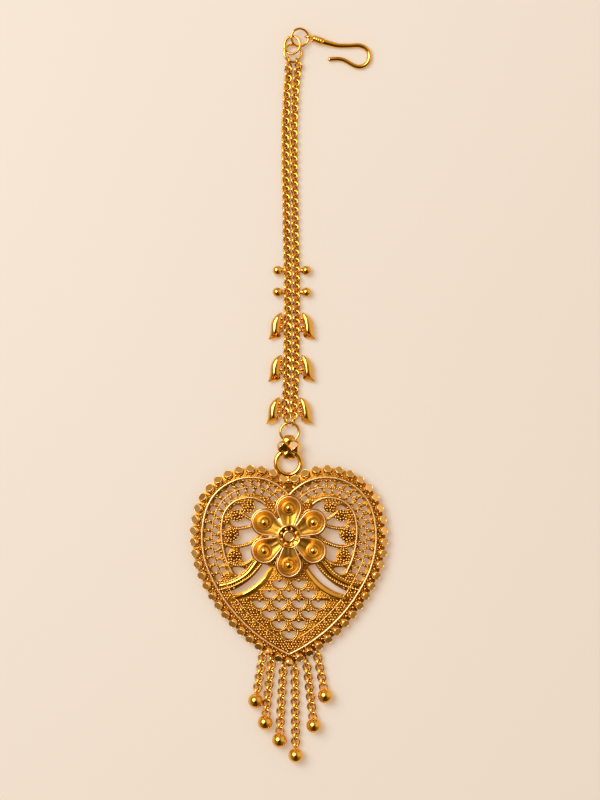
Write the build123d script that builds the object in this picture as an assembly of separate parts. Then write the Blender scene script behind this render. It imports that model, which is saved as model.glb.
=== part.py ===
# Maang tikka: a two-strand chain with a hair hook, a pierced heart pendant with a flower
# and six short chains with balls, lying face up on a flat surface.
# Units mm. +Y runs from the drops to the hook, +Z is up from the surface, +X is to the right.
import math
import os

from build123d import *

os.makedirs("parts", exist_ok=True)

# ---------------------------------------------------------------- driving dimensions
GAP = 0.10                # clearance kept between pieces that move on each other
LINK_TILT = 38            # links lie rolled to either side of the flat by this angle

MAIN_WIRE, MAIN_R = 0.31, 0.64      # main strand link: wire diameter, centreline radius
STRAND_APART = 1.90                 # between the centres of the two strands
DROP_WIRE, DROP_R = 0.38, 0.74      # link of the drop chains
END_TOP_R, END_LOW_R = 0.80, 1.00   # large end links at the clasp ring and the bail ring

HEART_Y = -28.2           # centre of the flower, which the heart is laid out from
LOBE_X, LOBE_Y, LOBE_R = 7.50, 2.18, 11.03     # circle of each lobe along the rim beads
SIDE_R, LOW_R = 19.53, 33.80                   # tangent arcs down the side and to the tip
LOBE_END, SIDE_END = 16.0, -24.35              # angles where the arcs meet
WALL_TOP, PLATE_Z, PLATE_TOP = 1.1, 1.0, 1.6   # side wall, back and face of the pierced plate
RIM_BEAD_R, RIM_BEAD_Z, RIM_STEP = 0.98, 1.60, 2.28

PETAL_OUT, PETAL_R, PETAL_BALL = 5.60, 2.50, 1.00
PETAL_Z, PETAL_TOP = 2.25, 3.60
CUP_R, CUP_FLOOR = 2.40, 3.00
TUBE_IN, TUBE_R, BORE_R = 0.80, 0.98, 1.08     # rivet tube inside and out, hole it passes
BALL_R = 1.45             # drop balls


# ---------------------------------------------------------------- small helpers
def ring(centre, normal, radius, wire):
    """A closed round ring of round wire."""
    return Plane(origin=centre, z_dir=normal).location * Torus(radius, wire / 2)


def link(centre, along, roll, radius, wire):
    """A chain link whose plane holds the direction along and is rolled about it."""
    t = Vector(*along).normalized()
    side = t.cross(Vector(0, 0, 1)).normalized()
    up = side.cross(t)
    a = math.radians(roll)
    return ring(centre, up * math.cos(a) + side * math.sin(a), radius, wire)


def tilted(angle, towards):
    """Unit normal leaning by angle from the vertical towards a compass direction."""
    a, b = math.radians(angle), math.radians(towards)
    return (math.sin(a) * math.cos(b), math.sin(a) * math.sin(b), math.cos(a))


def smooth(table, y):
    """Value at y of a table of (y, value) rows, eased from row to row."""
    rows = sorted(table)
    if y <= rows[0][0]:
        return rows[0][1]
    for (y0, v0), (y1, v1) in zip(rows, rows[1:]):
        if y <= y1:
            s = (y - y0) / (y1 - y0)
            return v0 + (v1 - v0) * s * s * (3 - 2 * s)
    return rows[-1][1]


def on_circle(centre, radius, angle):
    a = math.radians(angle)
    return (centre[0] + radius * math.cos(a), centre[1] + radius * math.sin(a))


def slab(face, low, high):
    """Prism of a flat face between two heights."""
    return extrude(Pos(0, 0, low) * face, amount=high - low)


def polygon(points):
    return make_face(Polyline(*points, close=True))


def both_sides(shapes):
    return list(shapes) + [mirror(s, about=Plane.YZ) for s in shapes]


def save(shape, name):
    shape.label = name
    export_step(shape, f"parts/{name}.step")


# ---------------------------------------------------------------- clasp: rings and hair hook
# Each ring: centre, lean from the flat, direction of the lean.
CLASP_RINGS = {
    "jump_ring_hook": ((2.20, 71.50, 1.273), 13.7, 330.9),
    "jump_ring_upper": ((0.64, 70.00, 1.053), 26.3, 178.1),
    "jump_ring_lower": ((0.78, 68.40, 0.837), 12.1, 34.7),
}
CLASP_R, CLASP_WIRE = 1.75, 0.50
HOOK_WIRE = 0.92
EYE_CENTRE, EYE_R, EYE_WIRE = (3.961, 71.697, 0.938), 0.68, 0.50


def hair_hook():
    """Wire hook with a coil-wrapped neck and a small eye on the top ring."""
    neck = Line((4.72, 71.42, 0.93), (6.85, 70.68, 0.80))
    core = sweep(Plane(origin=neck @ 0, z_dir=neck % 0) * Circle(0.40), path=neck)
    arm = Spline(
        neck @ 0.93, (8.4, 70.28, 0.60), (9.9, 69.98, 0.48), (12.0, 69.95, 0.48),
        (13.9, 70.02, 0.48), (15.1, 69.62, 0.48), (15.9, 68.8, 0.48), (16.12, 67.95, 0.48),
        (15.97, 67.0, 0.48), (15.35, 66.15, 0.48), (14.3, 65.72, 0.48), (13.3, 65.86, 0.48),
        (12.3, 66.35, 0.48), (11.2, 66.98, 0.48), (10.2, 67.27, 0.48), (9.2, 67.3, 0.48),
        (7.95, 67.2, 0.48),
    )
    wire = sweep(Plane(origin=arm @ 0, z_dir=arm % 0) * Circle(HOOK_WIRE / 2), path=arm)
    eye = ring(EYE_CENTRE, (0, math.cos(math.radians(13)), math.sin(math.radians(13))),
               EYE_R, EYE_WIRE)
    body = core + eye
    for turn in range(4):
        body = body + ring(neck @ (0.17 + 0.2 * turn), neck % 0, 0.52, 0.50)
    return body + wire


# ---------------------------------------------------------------- the two main strands
# Sideways sway of the pair: position along the chain, offset.
SWAY = [(65.0, 0.78), (59.5, 0.36), (53.0, 0.12), (47.0, 0.14), (35.0, 0.34), (23.0, 0.60),
        (14.0, 0.60), (6.0, 0.52), (-3.3, 0.14)]
LIE = 0.57                          # height of the link centres over the surface
BALL_BARS = {"ball_bar_1": 24.91, "ball_bar_2": 20.56}
LEAF_BARS = {"leaf_bar_1": 13.85, "leaf_bar_2": 5.37, "leaf_bar_3": -3.11}
LEAF_LEVELS = (1.49, -0.23)         # where a leaf is soldered on, from its middle


# Links that sit on the clasp ring and on the bail's ring: centre, yaw, pitch and roll of each.
TOP_LINKS = {
    -1: [((-0.177, 66.842, 0.992), -0.7, -0.1, -103.8), ((-0.205, 65.863, 0.761), -0.1, -8.3, -38.0),
         ((-0.202, 65.015, 0.639), 0.1, -7.2, 38.3)],
    1: [((1.756, 66.715, 0.938), 21.8, 3.6, 105.1), ((2.005, 65.829, 0.727), 2.4, -2.9, 36.2),
        ((1.825, 65.008, 0.634), -3.1, -6.9, -37.7)],
}
END_LINKS = [((0.927, -4.168, 0.718), -13.4, 7.1, 38.2), ((0.776, -5.275, 1.165), -7.4, 0, 99.9)]


def strand_rows():
    """Places of the evenly hung links down a strand: (y, name of the bar it is soldered to)."""
    rows = [(65.87 - 2 * (65.87 - BALL_BARS["ball_bar_1"]) / 48, None)]

    def run(to, count, bar=None):
        y0 = rows[-1][0]
        for i in range(1, count + 1):
            rows.append((y0 + (to - y0) * i / count, bar if i == count else None))

    run(BALL_BARS["ball_bar_1"], 46, "ball_bar_1")
    run(BALL_BARS["ball_bar_2"], 5, "ball_bar_2")
    above = 6
    for name, y in LEAF_BARS.items():
        run(y + LEAF_LEVELS[0], above, name)
        run(y + LEAF_LEVELS[1], 2, name)
        above = 8
    return rows


def posed(centre, yaw, pitch, roll, radius):
    """A link set by hand where a strand joins a ring."""
    a, b = math.radians(yaw), math.radians(pitch)
    along = (math.sin(a) * math.cos(b), -math.cos(a) * math.cos(b), math.sin(b))
    return link(centre, along, roll, radius, MAIN_WIRE)


def strand(side):
    """Links of one strand, left (-1) or right (+1), with the bar each belongs to."""
    rows = strand_rows()
    spots = [(smooth(SWAY, y) + side * STRAND_APART / 2, y, LIE) for y, _ in rows]
    top = TOP_LINKS[side]
    links = [(posed(*top[0], END_TOP_R), None)]
    links += [(posed(*pose, MAIN_R), None) for pose in top[1:]]
    for i, (y, bar) in enumerate(rows):
        a, b = spots[max(i - 1, 0)], spots[min(i + 1, len(spots) - 1)]
        along = (b[0] - a[0], b[1] - a[1], 0)
        roll = side * LINK_TILT * (-1 if i % 2 else 1)
        links.append((link(spots[i], along, roll, MAIN_R, MAIN_WIRE), bar))
    for ((x, y, z), yaw, pitch, roll), radius in zip(END_LINKS, (MAIN_R, END_LOW_R)):
        centre = (RING_CENTRE[0] + side * x, y, z)
        links.append((posed(centre, side * yaw, pitch, side * roll, radius), None))
    return links


def pegs(y, x_in, x_out, z_low, z_high, half):
    """Two short mirror-image studs beside the strands at one level."""
    cx = smooth(SWAY, y)
    box = Box(x_out - x_in, 2 * half, z_high - z_low)
    mid, z = (x_in + x_out) / 2, (z_low + z_high) / 2
    return [Pos(cx + s * mid, y, z) * box for s in (-1, 1)]


def bar_core(y):
    """Solder studs that join the two strands' links at one level to each other."""
    x = STRAND_APART / 2 - 0.50
    outer = pegs(y, STRAND_APART / 2 + 0.52, 1.85, 0.12, 1.03, 0.12)
    inner = Pos(smooth(SWAY, y), y, 0.56) * Box(2 * x, 0.30, 0.92)
    return outer + [inner]


def ball_bar(y, links):
    """Cross bar with a polished ball and a stepped collar at either end."""
    cx = smooth(SWAY, y)
    body = links[0] + links[1]
    for piece in bar_core(y):
        body = body + piece
    for s in (-1, 1):
        end = Plane(origin=(cx + s * 1.72, y, 0.80), z_dir=(s * 1.18, 0, 0.18)).location
        collar = Pos(0, 0, 0.32) * Cone(0.42, 0.66, 0.64)
        body = body + end * (collar + Pos(0, 0, 1.19) * Sphere(0.97))
    return body


# Sections of a leaf from its top down: height on the leaf, inner edge, outer edge, half thickness.
LEAF_SECTIONS = [(2.62, 1.95, 2.55, 0.34), (2.15, 1.95, 3.15, 0.62), (1.3, 2.05, 3.92, 0.88),
                 (0.0, 2.20, 4.22, 0.95), (-1.3, 2.30, 4.32, 0.95), (-2.1, 2.25, 4.50, 0.82),
                 (-2.75, 2.30, 4.72, 0.60)]


def leaf(side):
    """Domed half-tulip leaf with a bright facet cut across its mouth."""
    rings = []
    for y, inner, outer, half in LEAF_SECTIONS:
        plane = Plane(origin=(side * (inner + outer) / 2, y, 1.0), x_dir=(1, 0, 0), z_dir=(0, 1, 0))
        rings.append(plane * Ellipse((outer - inner) / 2, half))
    body = loft(rings)
    cut = Plane(origin=(side * 3.4, -2.02, 1.35), z_dir=(side * -0.30, -0.72, 0.62))
    return body - cut.location * Pos(0, 0, 2.5) * Box(9, 9, 5)


def leaf_bar(y, links):
    """Cross bar with a leaf on each side, soldered to both strands at two levels."""
    cx = smooth(SWAY, y)
    body = Pos(cx, y, 0) * leaf(1) + Pos(cx, y, 0) * leaf(-1)
    for level in LEAF_LEVELS:
        for piece in bar_core(y + level):
            body = body + piece
        for piece in pegs(y + level, 1.78, 2.60, 0.35, 1.25, 0.34):
            body = body + piece
        for s in (-1, 1):
            body = body + Pos(cx + s * 2.0, y + level - 0.05, 1.1) * Sphere(0.38)
    for piece in links:
        body = body + piece
    return body


# ---------------------------------------------------------------- bail and its ring
RING_R, RING_WIRE, RING_CENTRE = 1.85, 0.56, (0.14, -7.40, 1.22)
TOP_RING_R, TOP_RING_WIRE = 2.44, 1.10
TOP_RING_CENTRE = (-0.12, 14.64, 1.22)         # from the flower centre
# Flat cuts on the left (-1) and right (+1) ball of the bail, as the way each one faces.
BALL_CUTS = {-1: [(-0.30, 0.35, 0.89), (-0.80, -0.25, 0.55), (0.25, -0.75, 0.60)],
             1: [(0.12, 0.20, 0.97), (0.75, -0.50, 0.42), (-0.15, -0.85, 0.50)]}


def bail():
    """Strap looped through both rings, with two faceted balls side by side on its front."""
    x, y_top, y_low, z, half = 0.02, -9.16, -11.74, 1.22, 0.95
    body = None
    for level in (z + half, z - half):
        face = Plane(origin=(x, y_top, level), z_dir=(0, -1, 0), x_dir=(1, 0, 0))
        arm = extrude(face * Ellipse(0.80, 0.24), amount=y_top - y_low)
        body = arm if body is None else body + arm
    for y, out, width in ((y_top, 1, 0.98), (y_low, -1, 1.15)):
        face = Plane(origin=(x, y, z + half), z_dir=(0, out, 0), x_dir=(1, 0, 0))
        body = body + revolve(face * Ellipse(width, 0.27), Axis((x, y, z), (-out, 0, 0)), 180)
    for side, facets in BALL_CUTS.items():
        ball = Sphere(1.22)
        for normal in facets:
            plane = Plane(origin=(0, 0, 0), z_dir=normal)
            ball = ball - plane.location * Pos(0, 0, 1.22 - 0.27 + 1) * Box(4, 4, 2)
        ball = ball & Pos(0, 0, 0.77) * Box(4, 4, 2.2)
        body = body + Pos(x + side * 1.22, -10.32, 2.27) * ball
    return body


# ---------------------------------------------------------------- heart
def arc_centres():
    """Centres of the lobe, side and lower arcs; each arc is tangent to the one above."""
    lobe = (LOBE_X, LOBE_Y)
    side = on_circle(lobe, LOBE_R - SIDE_R, LOBE_END)
    return lobe, side, on_circle(side, SIDE_R - LOW_R, SIDE_END)


def half_arcs(inset):
    """Arcs of the right half, inset from the bead line: (centre, radius, from, to) each."""
    lobe, side, low = arc_centres()
    r1, r3 = LOBE_R - inset, LOW_R - inset
    start = math.degrees(math.acos(max(-1.0, -lobe[0] / r1)))
    end = -math.degrees(math.acos(-low[0] / r3))
    return [(lobe, r1, start, LOBE_END), (side, SIDE_R - inset, LOBE_END, SIDE_END),
            (low, r3, SIDE_END, end)]


def heart_face(inset):
    """Heart-shaped face inset from the bead line (negative grows it)."""
    edges = []
    for side in (1, -1):
        for centre, radius, a0, a1 in half_arcs(inset):
            spots = [on_circle(centre, radius, a) for a in (a0, (a0 + a1) / 2, a1)]
            edges.append(ThreePointArc(*[(side * x, y) for x, y in spots]))
    return make_face(edges)


def along_half(inset, distance):
    """Point and outward angle at a distance from the notch along the right half."""
    for centre, radius, a0, a1 in half_arcs(inset):
        length = math.radians(a0 - a1) * radius
        if distance <= length:
            angle = a0 - math.degrees(distance / radius)
            return on_circle(centre, radius, angle), angle
        distance -= length
    return on_circle(centre, radius, a1), a1


def half_length(inset):
    return sum(math.radians(a0 - a1) * r for _, r, a0, a1 in half_arcs(inset))


def rim_beads():
    """Beads round the rim, each with one large flat cut facing out and up."""
    beads, total = [], half_length(0)
    for k in range(27):
        (x, y), angle = along_half(0, total - k * RIM_STEP)
        out = math.radians(angle if k else -90)
        lean = math.radians(58)
        normal = (math.cos(out) * math.cos(lean), math.sin(out) * math.cos(lean), math.sin(lean))
        plane = Plane(origin=(0, 0, 0), z_dir=normal)
        ball = Sphere(RIM_BEAD_R) - plane.location * Pos(0, 0, RIM_BEAD_R - 0.32 + 1) * Box(3, 3, 2)
        bead = Pos(x, y, RIM_BEAD_Z) * ball
        beads += [bead] if k == 0 else both_sides([bead])
    return beads


NET_ROWS = [(2.75, 19, 1.50, 1.76, 0.60), (4.15, 16, 6.00, 1.66, 0.58)]
# each net row: inset from the bead line, holes, first place from the notch, step, hole radius
FAN_GAPS = {
    "first": [(4.5, 5.0), (4.75, 5.75), (5.2, 6.3), (6.1, 6.8), (7.0, 6.95), (7.05, 6.2),
              (7.05, 5.45), (8.1, 4.8), (8.85, 4.6), (8.2, 4.05), (7.5, 3.6), (6.9, 3.4),
              (6.3, 4.2), (5.5, 4.75)],
    "second": [(9.4, 5.45), (9.6, 6.0), (10.4, 6.15), (11.1, 5.8), (11.45, 5.25), (10.9, 5.15),
               (10.2, 5.2)],
    "third": [(7.6, 2.45), (7.85, 3.1), (8.9, 3.65), (9.4, 3.4), (10.2, 3.0), (11.05, 3.15),
              (11.7, 3.35), (11.6, 2.6), (10.9, 1.95), (9.9, 1.8), (8.8, 2.05)],
    "fourth": [(6.9, 1.55), (7.6, 1.6), (8.8, 1.3), (10.0, 1.15), (9.95, 0.4), (10.2, -0.25),
               (11.0, -0.95), (11.25, -1.35), (10.9, -1.75), (9.5, -1.6), (8.1, -1.1),
               (7.35, -0.7), (6.6, -0.1), (6.3, 0.3), (6.4, 0.85)],
    "fifth": [(7.5, -1.75), (8.2, -2.05), (9.7, -2.4), (9.75, -3.1), (9.4, -3.7), (9.45, -4.5),
              (9.1, -5.0), (8.4, -5.0), (7.6, -4.5), (7.2, -3.6), (7.0, -2.6)],
    "sixth": [(11.65, -2.4), (12.3, -2.2), (12.7, -2.6), (12.5, -3.4), (12.25, -3.85),
              (11.95, -3.1)],
    "seventh": [(9.1, -6.35), (10.6, -6.2), (11.25, -6.4), (10.8, -7.35), (10.4, -7.7),
                (9.7, -7.35), (9.15, -6.9)],
    "eighth": [(12.1, 1.75), (12.2, 2.35), (12.65, 2.25), (12.75, 1.6), (12.4, 1.2)],
}
SCALE_ROWS = [(-9.4, (1.95,)), (-11.4, (0, 3.9)), (-13.4, (1.95, 5.85)), (-15.45, (0, 3.9)),
              (-17.5, (1.95,)), (-19.5, (0,))]
# each scale row: height, places of the openings on the right half and the middle
CRESCENT = [(11.5, -10.95), (8.0, -8.85), (5.1, -5.45), (3.85, -6.1), (6.65, -9.5), (11.3, -11.75)]


def net_holes():
    """Round meshes of the two net rows round each lobe and down each side."""
    holes = []
    for inset, count, first, step, radius in NET_ROWS:
        for k in range(count):
            (x, y), _ = along_half(inset, first + k * step)
            holes.append(Pos(x, y) * Circle(radius))
    return both_sides(holes)


def scale_places():
    places = []
    for y, row in SCALE_ROWS:
        for x in row:
            places += [(x, y)] if x == 0 else [(x, y), (-x, y)]
    return places


def scale_hole(x, y):
    """Half-moon opening with a small notch in its straight top edge."""
    moon = Pos(0, 0.30) * Circle(1.26) & Pos(0, -0.60) * Rectangle(3, 2.2)
    return Pos(x, y) * (moon - Pos(0, 0.55) * Circle(0.36))


def crescent_hole():
    a, upper, b, c, lower, d = CRESCENT
    edges = [ThreePointArc(a, upper, b), Line(b, c), ThreePointArc(c, lower, d), Line(d, a)]
    return make_face(edges)


def openings():
    holes = net_holes() + both_sides([crescent_hole()])
    holes += both_sides([polygon(p) for p in FAN_GAPS.values()])
    holes += [scale_hole(x, y) for x, y in scale_places()]
    holes.append(Circle(BORE_R))
    return holes


ARCH = [(4.6, 6.4), (6.2, 7.4), (8.1, 7.72), (10.9, 6.95), (12.8, 4.9), (13.5, 2.1),
        (13.4, -1.0), (12.7, -4.4), (11.3, -7.6)]
WIRE_HIGH = [(7.1, -5.1), (9.0, -7.35), (11.6, -8.9), (13.8, -9.4)]
WIRE_LOW = [(5.2, -5.1), (7.8, -8.0), (11.0, -9.9), (13.8, -10.7)]
BAND = [(3.3, -6.3), (6.3, -10.15), (11.4, -12.45)]
CURLS = [(7.95, 5.75), (10.45, 4.15), (11.5, 0.15), (10.95, -4.1)]


def ribs():
    """Raised wires of the right half: (face, top height) for each."""
    rows = [(trace(Spline(*ARCH), 0.5), 2.05), (trace(Spline(*WIRE_HIGH), 0.42), 1.95),
            (trace(Spline(*WIRE_LOW), 0.42), 1.95), (trace(ThreePointArc(*BAND), 0.6), 2.25)]
    for x, y in CURLS:
        rows.append((Pos(x, y) * (Circle(0.78) - Circle(0.34)), 2.0))
    return rows


def scale_ribs():
    """Scalloped ridges under the openings of the lower field."""
    rows = []
    for x, y in scale_places():
        ring_face = Circle(1.82) - Circle(1.42)
        rows.append(Pos(x, y + 0.3) * (ring_face & Pos(0, -1.2) * Rectangle(5, 2.4)))
    return rows


def eyelets():
    """Small rings soldered to the lower wall on short posts, one for each drop chain."""
    out = []
    for i in range(6):
        start, along, _, _ = drop_run(i)
        spot = Vector(start[0], start[1] - HEART_Y, start[2])
        out.append(link(spot, along, -LINK_TILT, DROP_R, DROP_WIRE))
        post = Plane(origin=spot - Vector(*along) * 1.15, z_dir=along)
        out.append(post.location * Cylinder(0.25, 1.0))
    return out


def heart():
    """Pierced heart on a side wall, with its rim beads, ridges, top ring and eyelets."""
    plate = heart_face(-0.40)
    for hole in openings():
        plate = plate - hole
    body = slab(plate, PLATE_Z, PLATE_TOP)
    body = body + slab(heart_face(-0.30) - heart_face(0.60), 0, WALL_TOP)
    body = body + slab(heart_face(1.20) - heart_face(1.72), 1.3, 2.0)
    raised = []
    for face, top in ribs():
        raised += both_sides([slab(face, 1.3, top)])
    raised += [slab(face, 1.3, 1.95) for face in scale_ribs()]
    raised.append(Pos(0, 0, 1.5) * Cylinder(4.6, 0.9) - Cylinder(BORE_R, 6))
    body = body + raised
    body = body + rim_beads()
    body = body + Pos(*TOP_RING_CENTRE) * Torus(TOP_RING_R, TOP_RING_WIRE / 2)
    body = body + Pos(0, 11.3, 1.15) * Box(2.4, 1.7, 0.9)
    return body + eyelets()


# ---------------------------------------------------------------- flower and its rivet
def petal():
    """Dished teardrop petal on the +Y side, with a stepped ring and a ball in it."""
    outline = Pos(0, PETAL_OUT) * Circle(PETAL_R)
    outline = outline + polygon([(-0.75, 1.2), (-2.40, 4.90), (2.40, 4.90), (0.75, 1.2)])
    body = slab(outline, PETAL_Z, PETAL_TOP)
    dish = Pos(0, PETAL_OUT, PETAL_Z + 0.35 + 4.0) * Sphere(4.0)
    body = body - dish
    seat = Pos(0, PETAL_OUT, PETAL_Z + 0.55) * (Cylinder(1.50, 0.7) - Cylinder(1.15, 3))
    ball = Pos(0, PETAL_OUT + 0.06, PETAL_Z + 1.05) * Sphere(PETAL_BALL)
    return body + seat + ball


def flower():
    """Six petals round a centre cup, on a stepped boss with a bore for the rivet."""
    body = Pos(0, 0, 2.35) * Cylinder(3.4, 0.6)
    one = petal()
    for k in range(6):
        body = body + Rot(0, 0, 60 * k) * one
    body = body + Pos(0, 0, 2.9) * Cylinder(CUP_R, 1.7)
    body = body - Pos(0, 0, CUP_FLOOR + 1.0) * Cylinder(CUP_R - 0.45, 2.0)
    for k in range(8):
        spot = on_circle((0, 0), 1.58, 45 * k + 22.5)
        body = body + Pos(spot[0], spot[1], CUP_FLOOR + 0.12) * Sphere(0.33)
    return body - Cylinder(BORE_R, 12)


def rivet():
    """Open tube through flower and plate, turned over at both ends."""
    tube = Pos(0, 0, 1.90) * Cylinder(TUBE_R, 2.6)
    foot = Pos(0, 0, 0.70) * Cylinder(1.50, 0.4)
    lip = Pos(0, 0, CUP_FLOOR + 0.20) * Cylinder(1.15, 0.2)
    return tube + foot + lip - Cylinder(TUBE_IN, 12)


# ---------------------------------------------------------------- drops
# Each drop: where its chain leaves the rim, centre of its ball, number of link steps.
DROPS = [((-5.15, -51.62), (-6.68, -61.15), 8), ((-3.45, -52.95), (-4.82, -65.90), 11),
         ((-1.12, -54.45), (-1.94, -69.40), 13), ((1.20, -54.50), (1.36, -72.40), 16),
         ((3.52, -53.55), (4.94, -65.90), 11), ((5.62, -51.65), (7.34, -60.70), 7)]
DROP_STEP = 0.99
CHAIN_Z, EYE_OUT = 0.66, 1.72


def drop_run(i):
    """Start, direction, number of steps and ball centre of a drop chain."""
    (x0, y0), (x1, y1), steps = DROPS[i]
    length = math.hypot(x1 - x0, y1 - y0)
    along = ((x1 - x0) / length, (y1 - y0) / length, 0)
    reach = steps * DROP_STEP + EYE_OUT
    ball = (x0 + along[0] * reach, y0 + along[1] * reach, BALL_R + 0.01)
    return (x0, y0, CHAIN_Z), along, steps, ball


def drop_chain(i):
    start, along, steps, _ = drop_run(i)
    links = []
    for k in range(1, steps):
        spot = (start[0] + along[0] * k * DROP_STEP, start[1] + along[1] * k * DROP_STEP, CHAIN_Z)
        links.append(link(spot, along, LINK_TILT * (1 if k % 2 else -1), DROP_R, DROP_WIRE))
    return Compound(children=links)


def drop_ball(i):
    """Hollow-looking polished ball with a ring eye soldered on."""
    _, along, steps, ball = drop_run(i)
    eye = (ball[0] - along[0] * EYE_OUT, ball[1] - along[1] * EYE_OUT, CHAIN_Z)
    roll = LINK_TILT * (1 if steps % 2 else -1)
    root = (ball[0] - along[0] * 1.15, ball[1] - along[1] * 1.15, CHAIN_Z + 0.1)
    return Pos(*ball) * Sphere(BALL_R) + link(eye, along, roll, DROP_R, DROP_WIRE) + Pos(*root) * Sphere(0.42)


# ---------------------------------------------------------------- build and save every piece
for name, (centre, lean, towards) in CLASP_RINGS.items():
    save(ring(centre, tilted(lean, towards), CLASP_R, CLASP_WIRE), name)
save(hair_hook(), "hair_hook")

left, right = strand(-1), strand(1)
for name, links in (("chain_left", left), ("chain_right", right)):
    save(Compound(children=[piece for piece, bar in links if bar is None]), name)
for name, y in BALL_BARS.items():
    save(ball_bar(y, [piece for piece, bar in left + right if bar == name]), name)
for name, y in LEAF_BARS.items():
    save(leaf_bar(y, [piece for piece, bar in left + right if bar == name]), name)

save(ring(RING_CENTRE, (0, 0, 1), RING_R, RING_WIRE), "chain_ring")
save(bail(), "bail_connector")
save(Pos(0, HEART_Y, 0) * heart(), "heart_frame")
save(Pos(0, HEART_Y, 0) * flower(), "flower")
save(Pos(0, HEART_Y, 0) * rivet(), "flower_rivet")
for i in range(6):
    save(drop_chain(i), f"drop_chain_{i + 1}")
    save(drop_ball(i), f"drop_ball_{i + 1}")
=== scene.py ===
# Maang tikka lying face up: hair hook, two link strands with ball and leaf bars, bail,
# pierced heart with a flower, and six short chains that end in balls.
import math

import bmesh
import bpy
import numpy as np
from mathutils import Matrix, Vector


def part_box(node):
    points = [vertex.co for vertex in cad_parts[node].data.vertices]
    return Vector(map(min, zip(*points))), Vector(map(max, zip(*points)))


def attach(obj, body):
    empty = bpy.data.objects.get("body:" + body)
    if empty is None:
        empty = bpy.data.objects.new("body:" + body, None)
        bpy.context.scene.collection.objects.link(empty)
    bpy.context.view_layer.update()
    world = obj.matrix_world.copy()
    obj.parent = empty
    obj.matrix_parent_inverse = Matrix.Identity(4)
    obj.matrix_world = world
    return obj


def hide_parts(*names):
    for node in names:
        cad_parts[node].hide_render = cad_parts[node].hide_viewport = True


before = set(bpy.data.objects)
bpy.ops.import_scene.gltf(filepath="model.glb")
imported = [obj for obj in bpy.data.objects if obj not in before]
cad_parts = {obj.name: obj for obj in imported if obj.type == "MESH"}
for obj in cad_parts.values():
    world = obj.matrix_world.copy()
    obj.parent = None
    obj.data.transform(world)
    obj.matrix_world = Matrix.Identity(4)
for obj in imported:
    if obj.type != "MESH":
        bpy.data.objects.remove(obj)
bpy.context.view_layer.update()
MM = 0.001                      # sizes below are millimetres; meshes are written in metres


# ---------------------------------------------------------------- clasp rings
# Three round jump rings of drawn wire, butted and closed, which join the two strands to the
# hook. Gold-plated brass, tumbled bright.
def new_node(tree, kind, options=(), sockets=()):
    """New shader node with its options set. A socket is set to the plain value given for it, or
    linked to the output given for it."""
    made = tree.nodes.new("ShaderNode" + kind)
    for option, value in dict(options).items():
        setattr(made, option, value)
    for socket, value in dict(sockets).items():
        if isinstance(value, bpy.types.NodeSocket):
            tree.links.new(value, made.inputs[socket])
        else:
            made.inputs[socket].default_value = value
    return made


def effect(name, inputs, outputs):
    """New shader node group with the named sockets; returns it, what it is given, and its ends."""
    group = bpy.data.node_groups.new(name, "ShaderNodeTree")
    for way, sockets in (("INPUT", inputs), ("OUTPUT", outputs)):
        for socket, kind in sockets.items():
            group.interface.new_socket(socket, in_out=way, socket_type="NodeSocket" + kind)
    given, ends = group.nodes.new("NodeGroupInput"), group.nodes.new("NodeGroupOutput")
    return group, given.outputs, ends.inputs


def hand_finish():
    """Polishing: Tone drifts slowly over the metal and Marks are the fine rub marks."""
    group, given, ends = effect("hand finish", {"Place": "Vector", "Patch": "Float", "Fine": "Float"},
                                {"Tone": "Float", "Marks": "Float"})
    for socket, scale, detail in (("Tone", "Patch", 2.0), ("Marks", "Fine", 4.0)):
        noise = new_node(group, "TexNoise", sockets={
            "Vector": given["Place"], "Scale": given[scale], "Detail": detail})
        group.links.new(noise.outputs["Fac"], ends[socket])
    return group


def painted_recess_shade():
    """Open is 1 on what stands up and falls to 0 in the recesses; it masks a painted shade there."""
    group, given, ends = effect("recess depth", {"Place": "Vector", "Low": "Float", "High": "Float"},
                                {"Open": "Float"})
    split = new_node(group, "SeparateXYZ", sockets={"Vector": given["Place"]})
    ramp = new_node(group, "MapRange", {"interpolation_type": "SMOOTHSTEP"}, {
        "Value": split.outputs["Z"], "From Min": given["Low"], "From Max": given["High"]})
    group.links.new(ramp.outputs["Result"], ends["Open"])
    return group


def frosting():
    """Matted ground: rounded punch marks side by side, as a height."""
    group, given, ends = effect("frosting", {"Place": "Vector", "Scale": "Float"}, {"Height": "Float"})
    cells = new_node(group, "TexVoronoi", {"feature": "SMOOTH_F1"}, {
        "Vector": given["Place"], "Scale": given["Scale"]})
    domes = new_node(group, "Math", {"operation": "SUBTRACT"}, {0: 1.0, 1: cells.outputs["Distance"]})
    group.links.new(domes.outputs["Value"], ends["Height"])
    return group


HAND_FINISH, PAINTED_RECESS_SHADE, FROSTING = hand_finish(), painted_recess_shade(), frosting()
PATCH_SCALE, MARK_SCALE, PUNCH_SCALE = 260.0, 2600.0, 2400.0      # repeats over a metre
OPEN_SHARE, DRIFT_SHARE = 0.8, 0.35      # what standing up and the slow drift add to the tone
FEW_MARKS, MANY_MARKS = 0.3, 0.7         # values of the marks at which metal is smooth or worn


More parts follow.
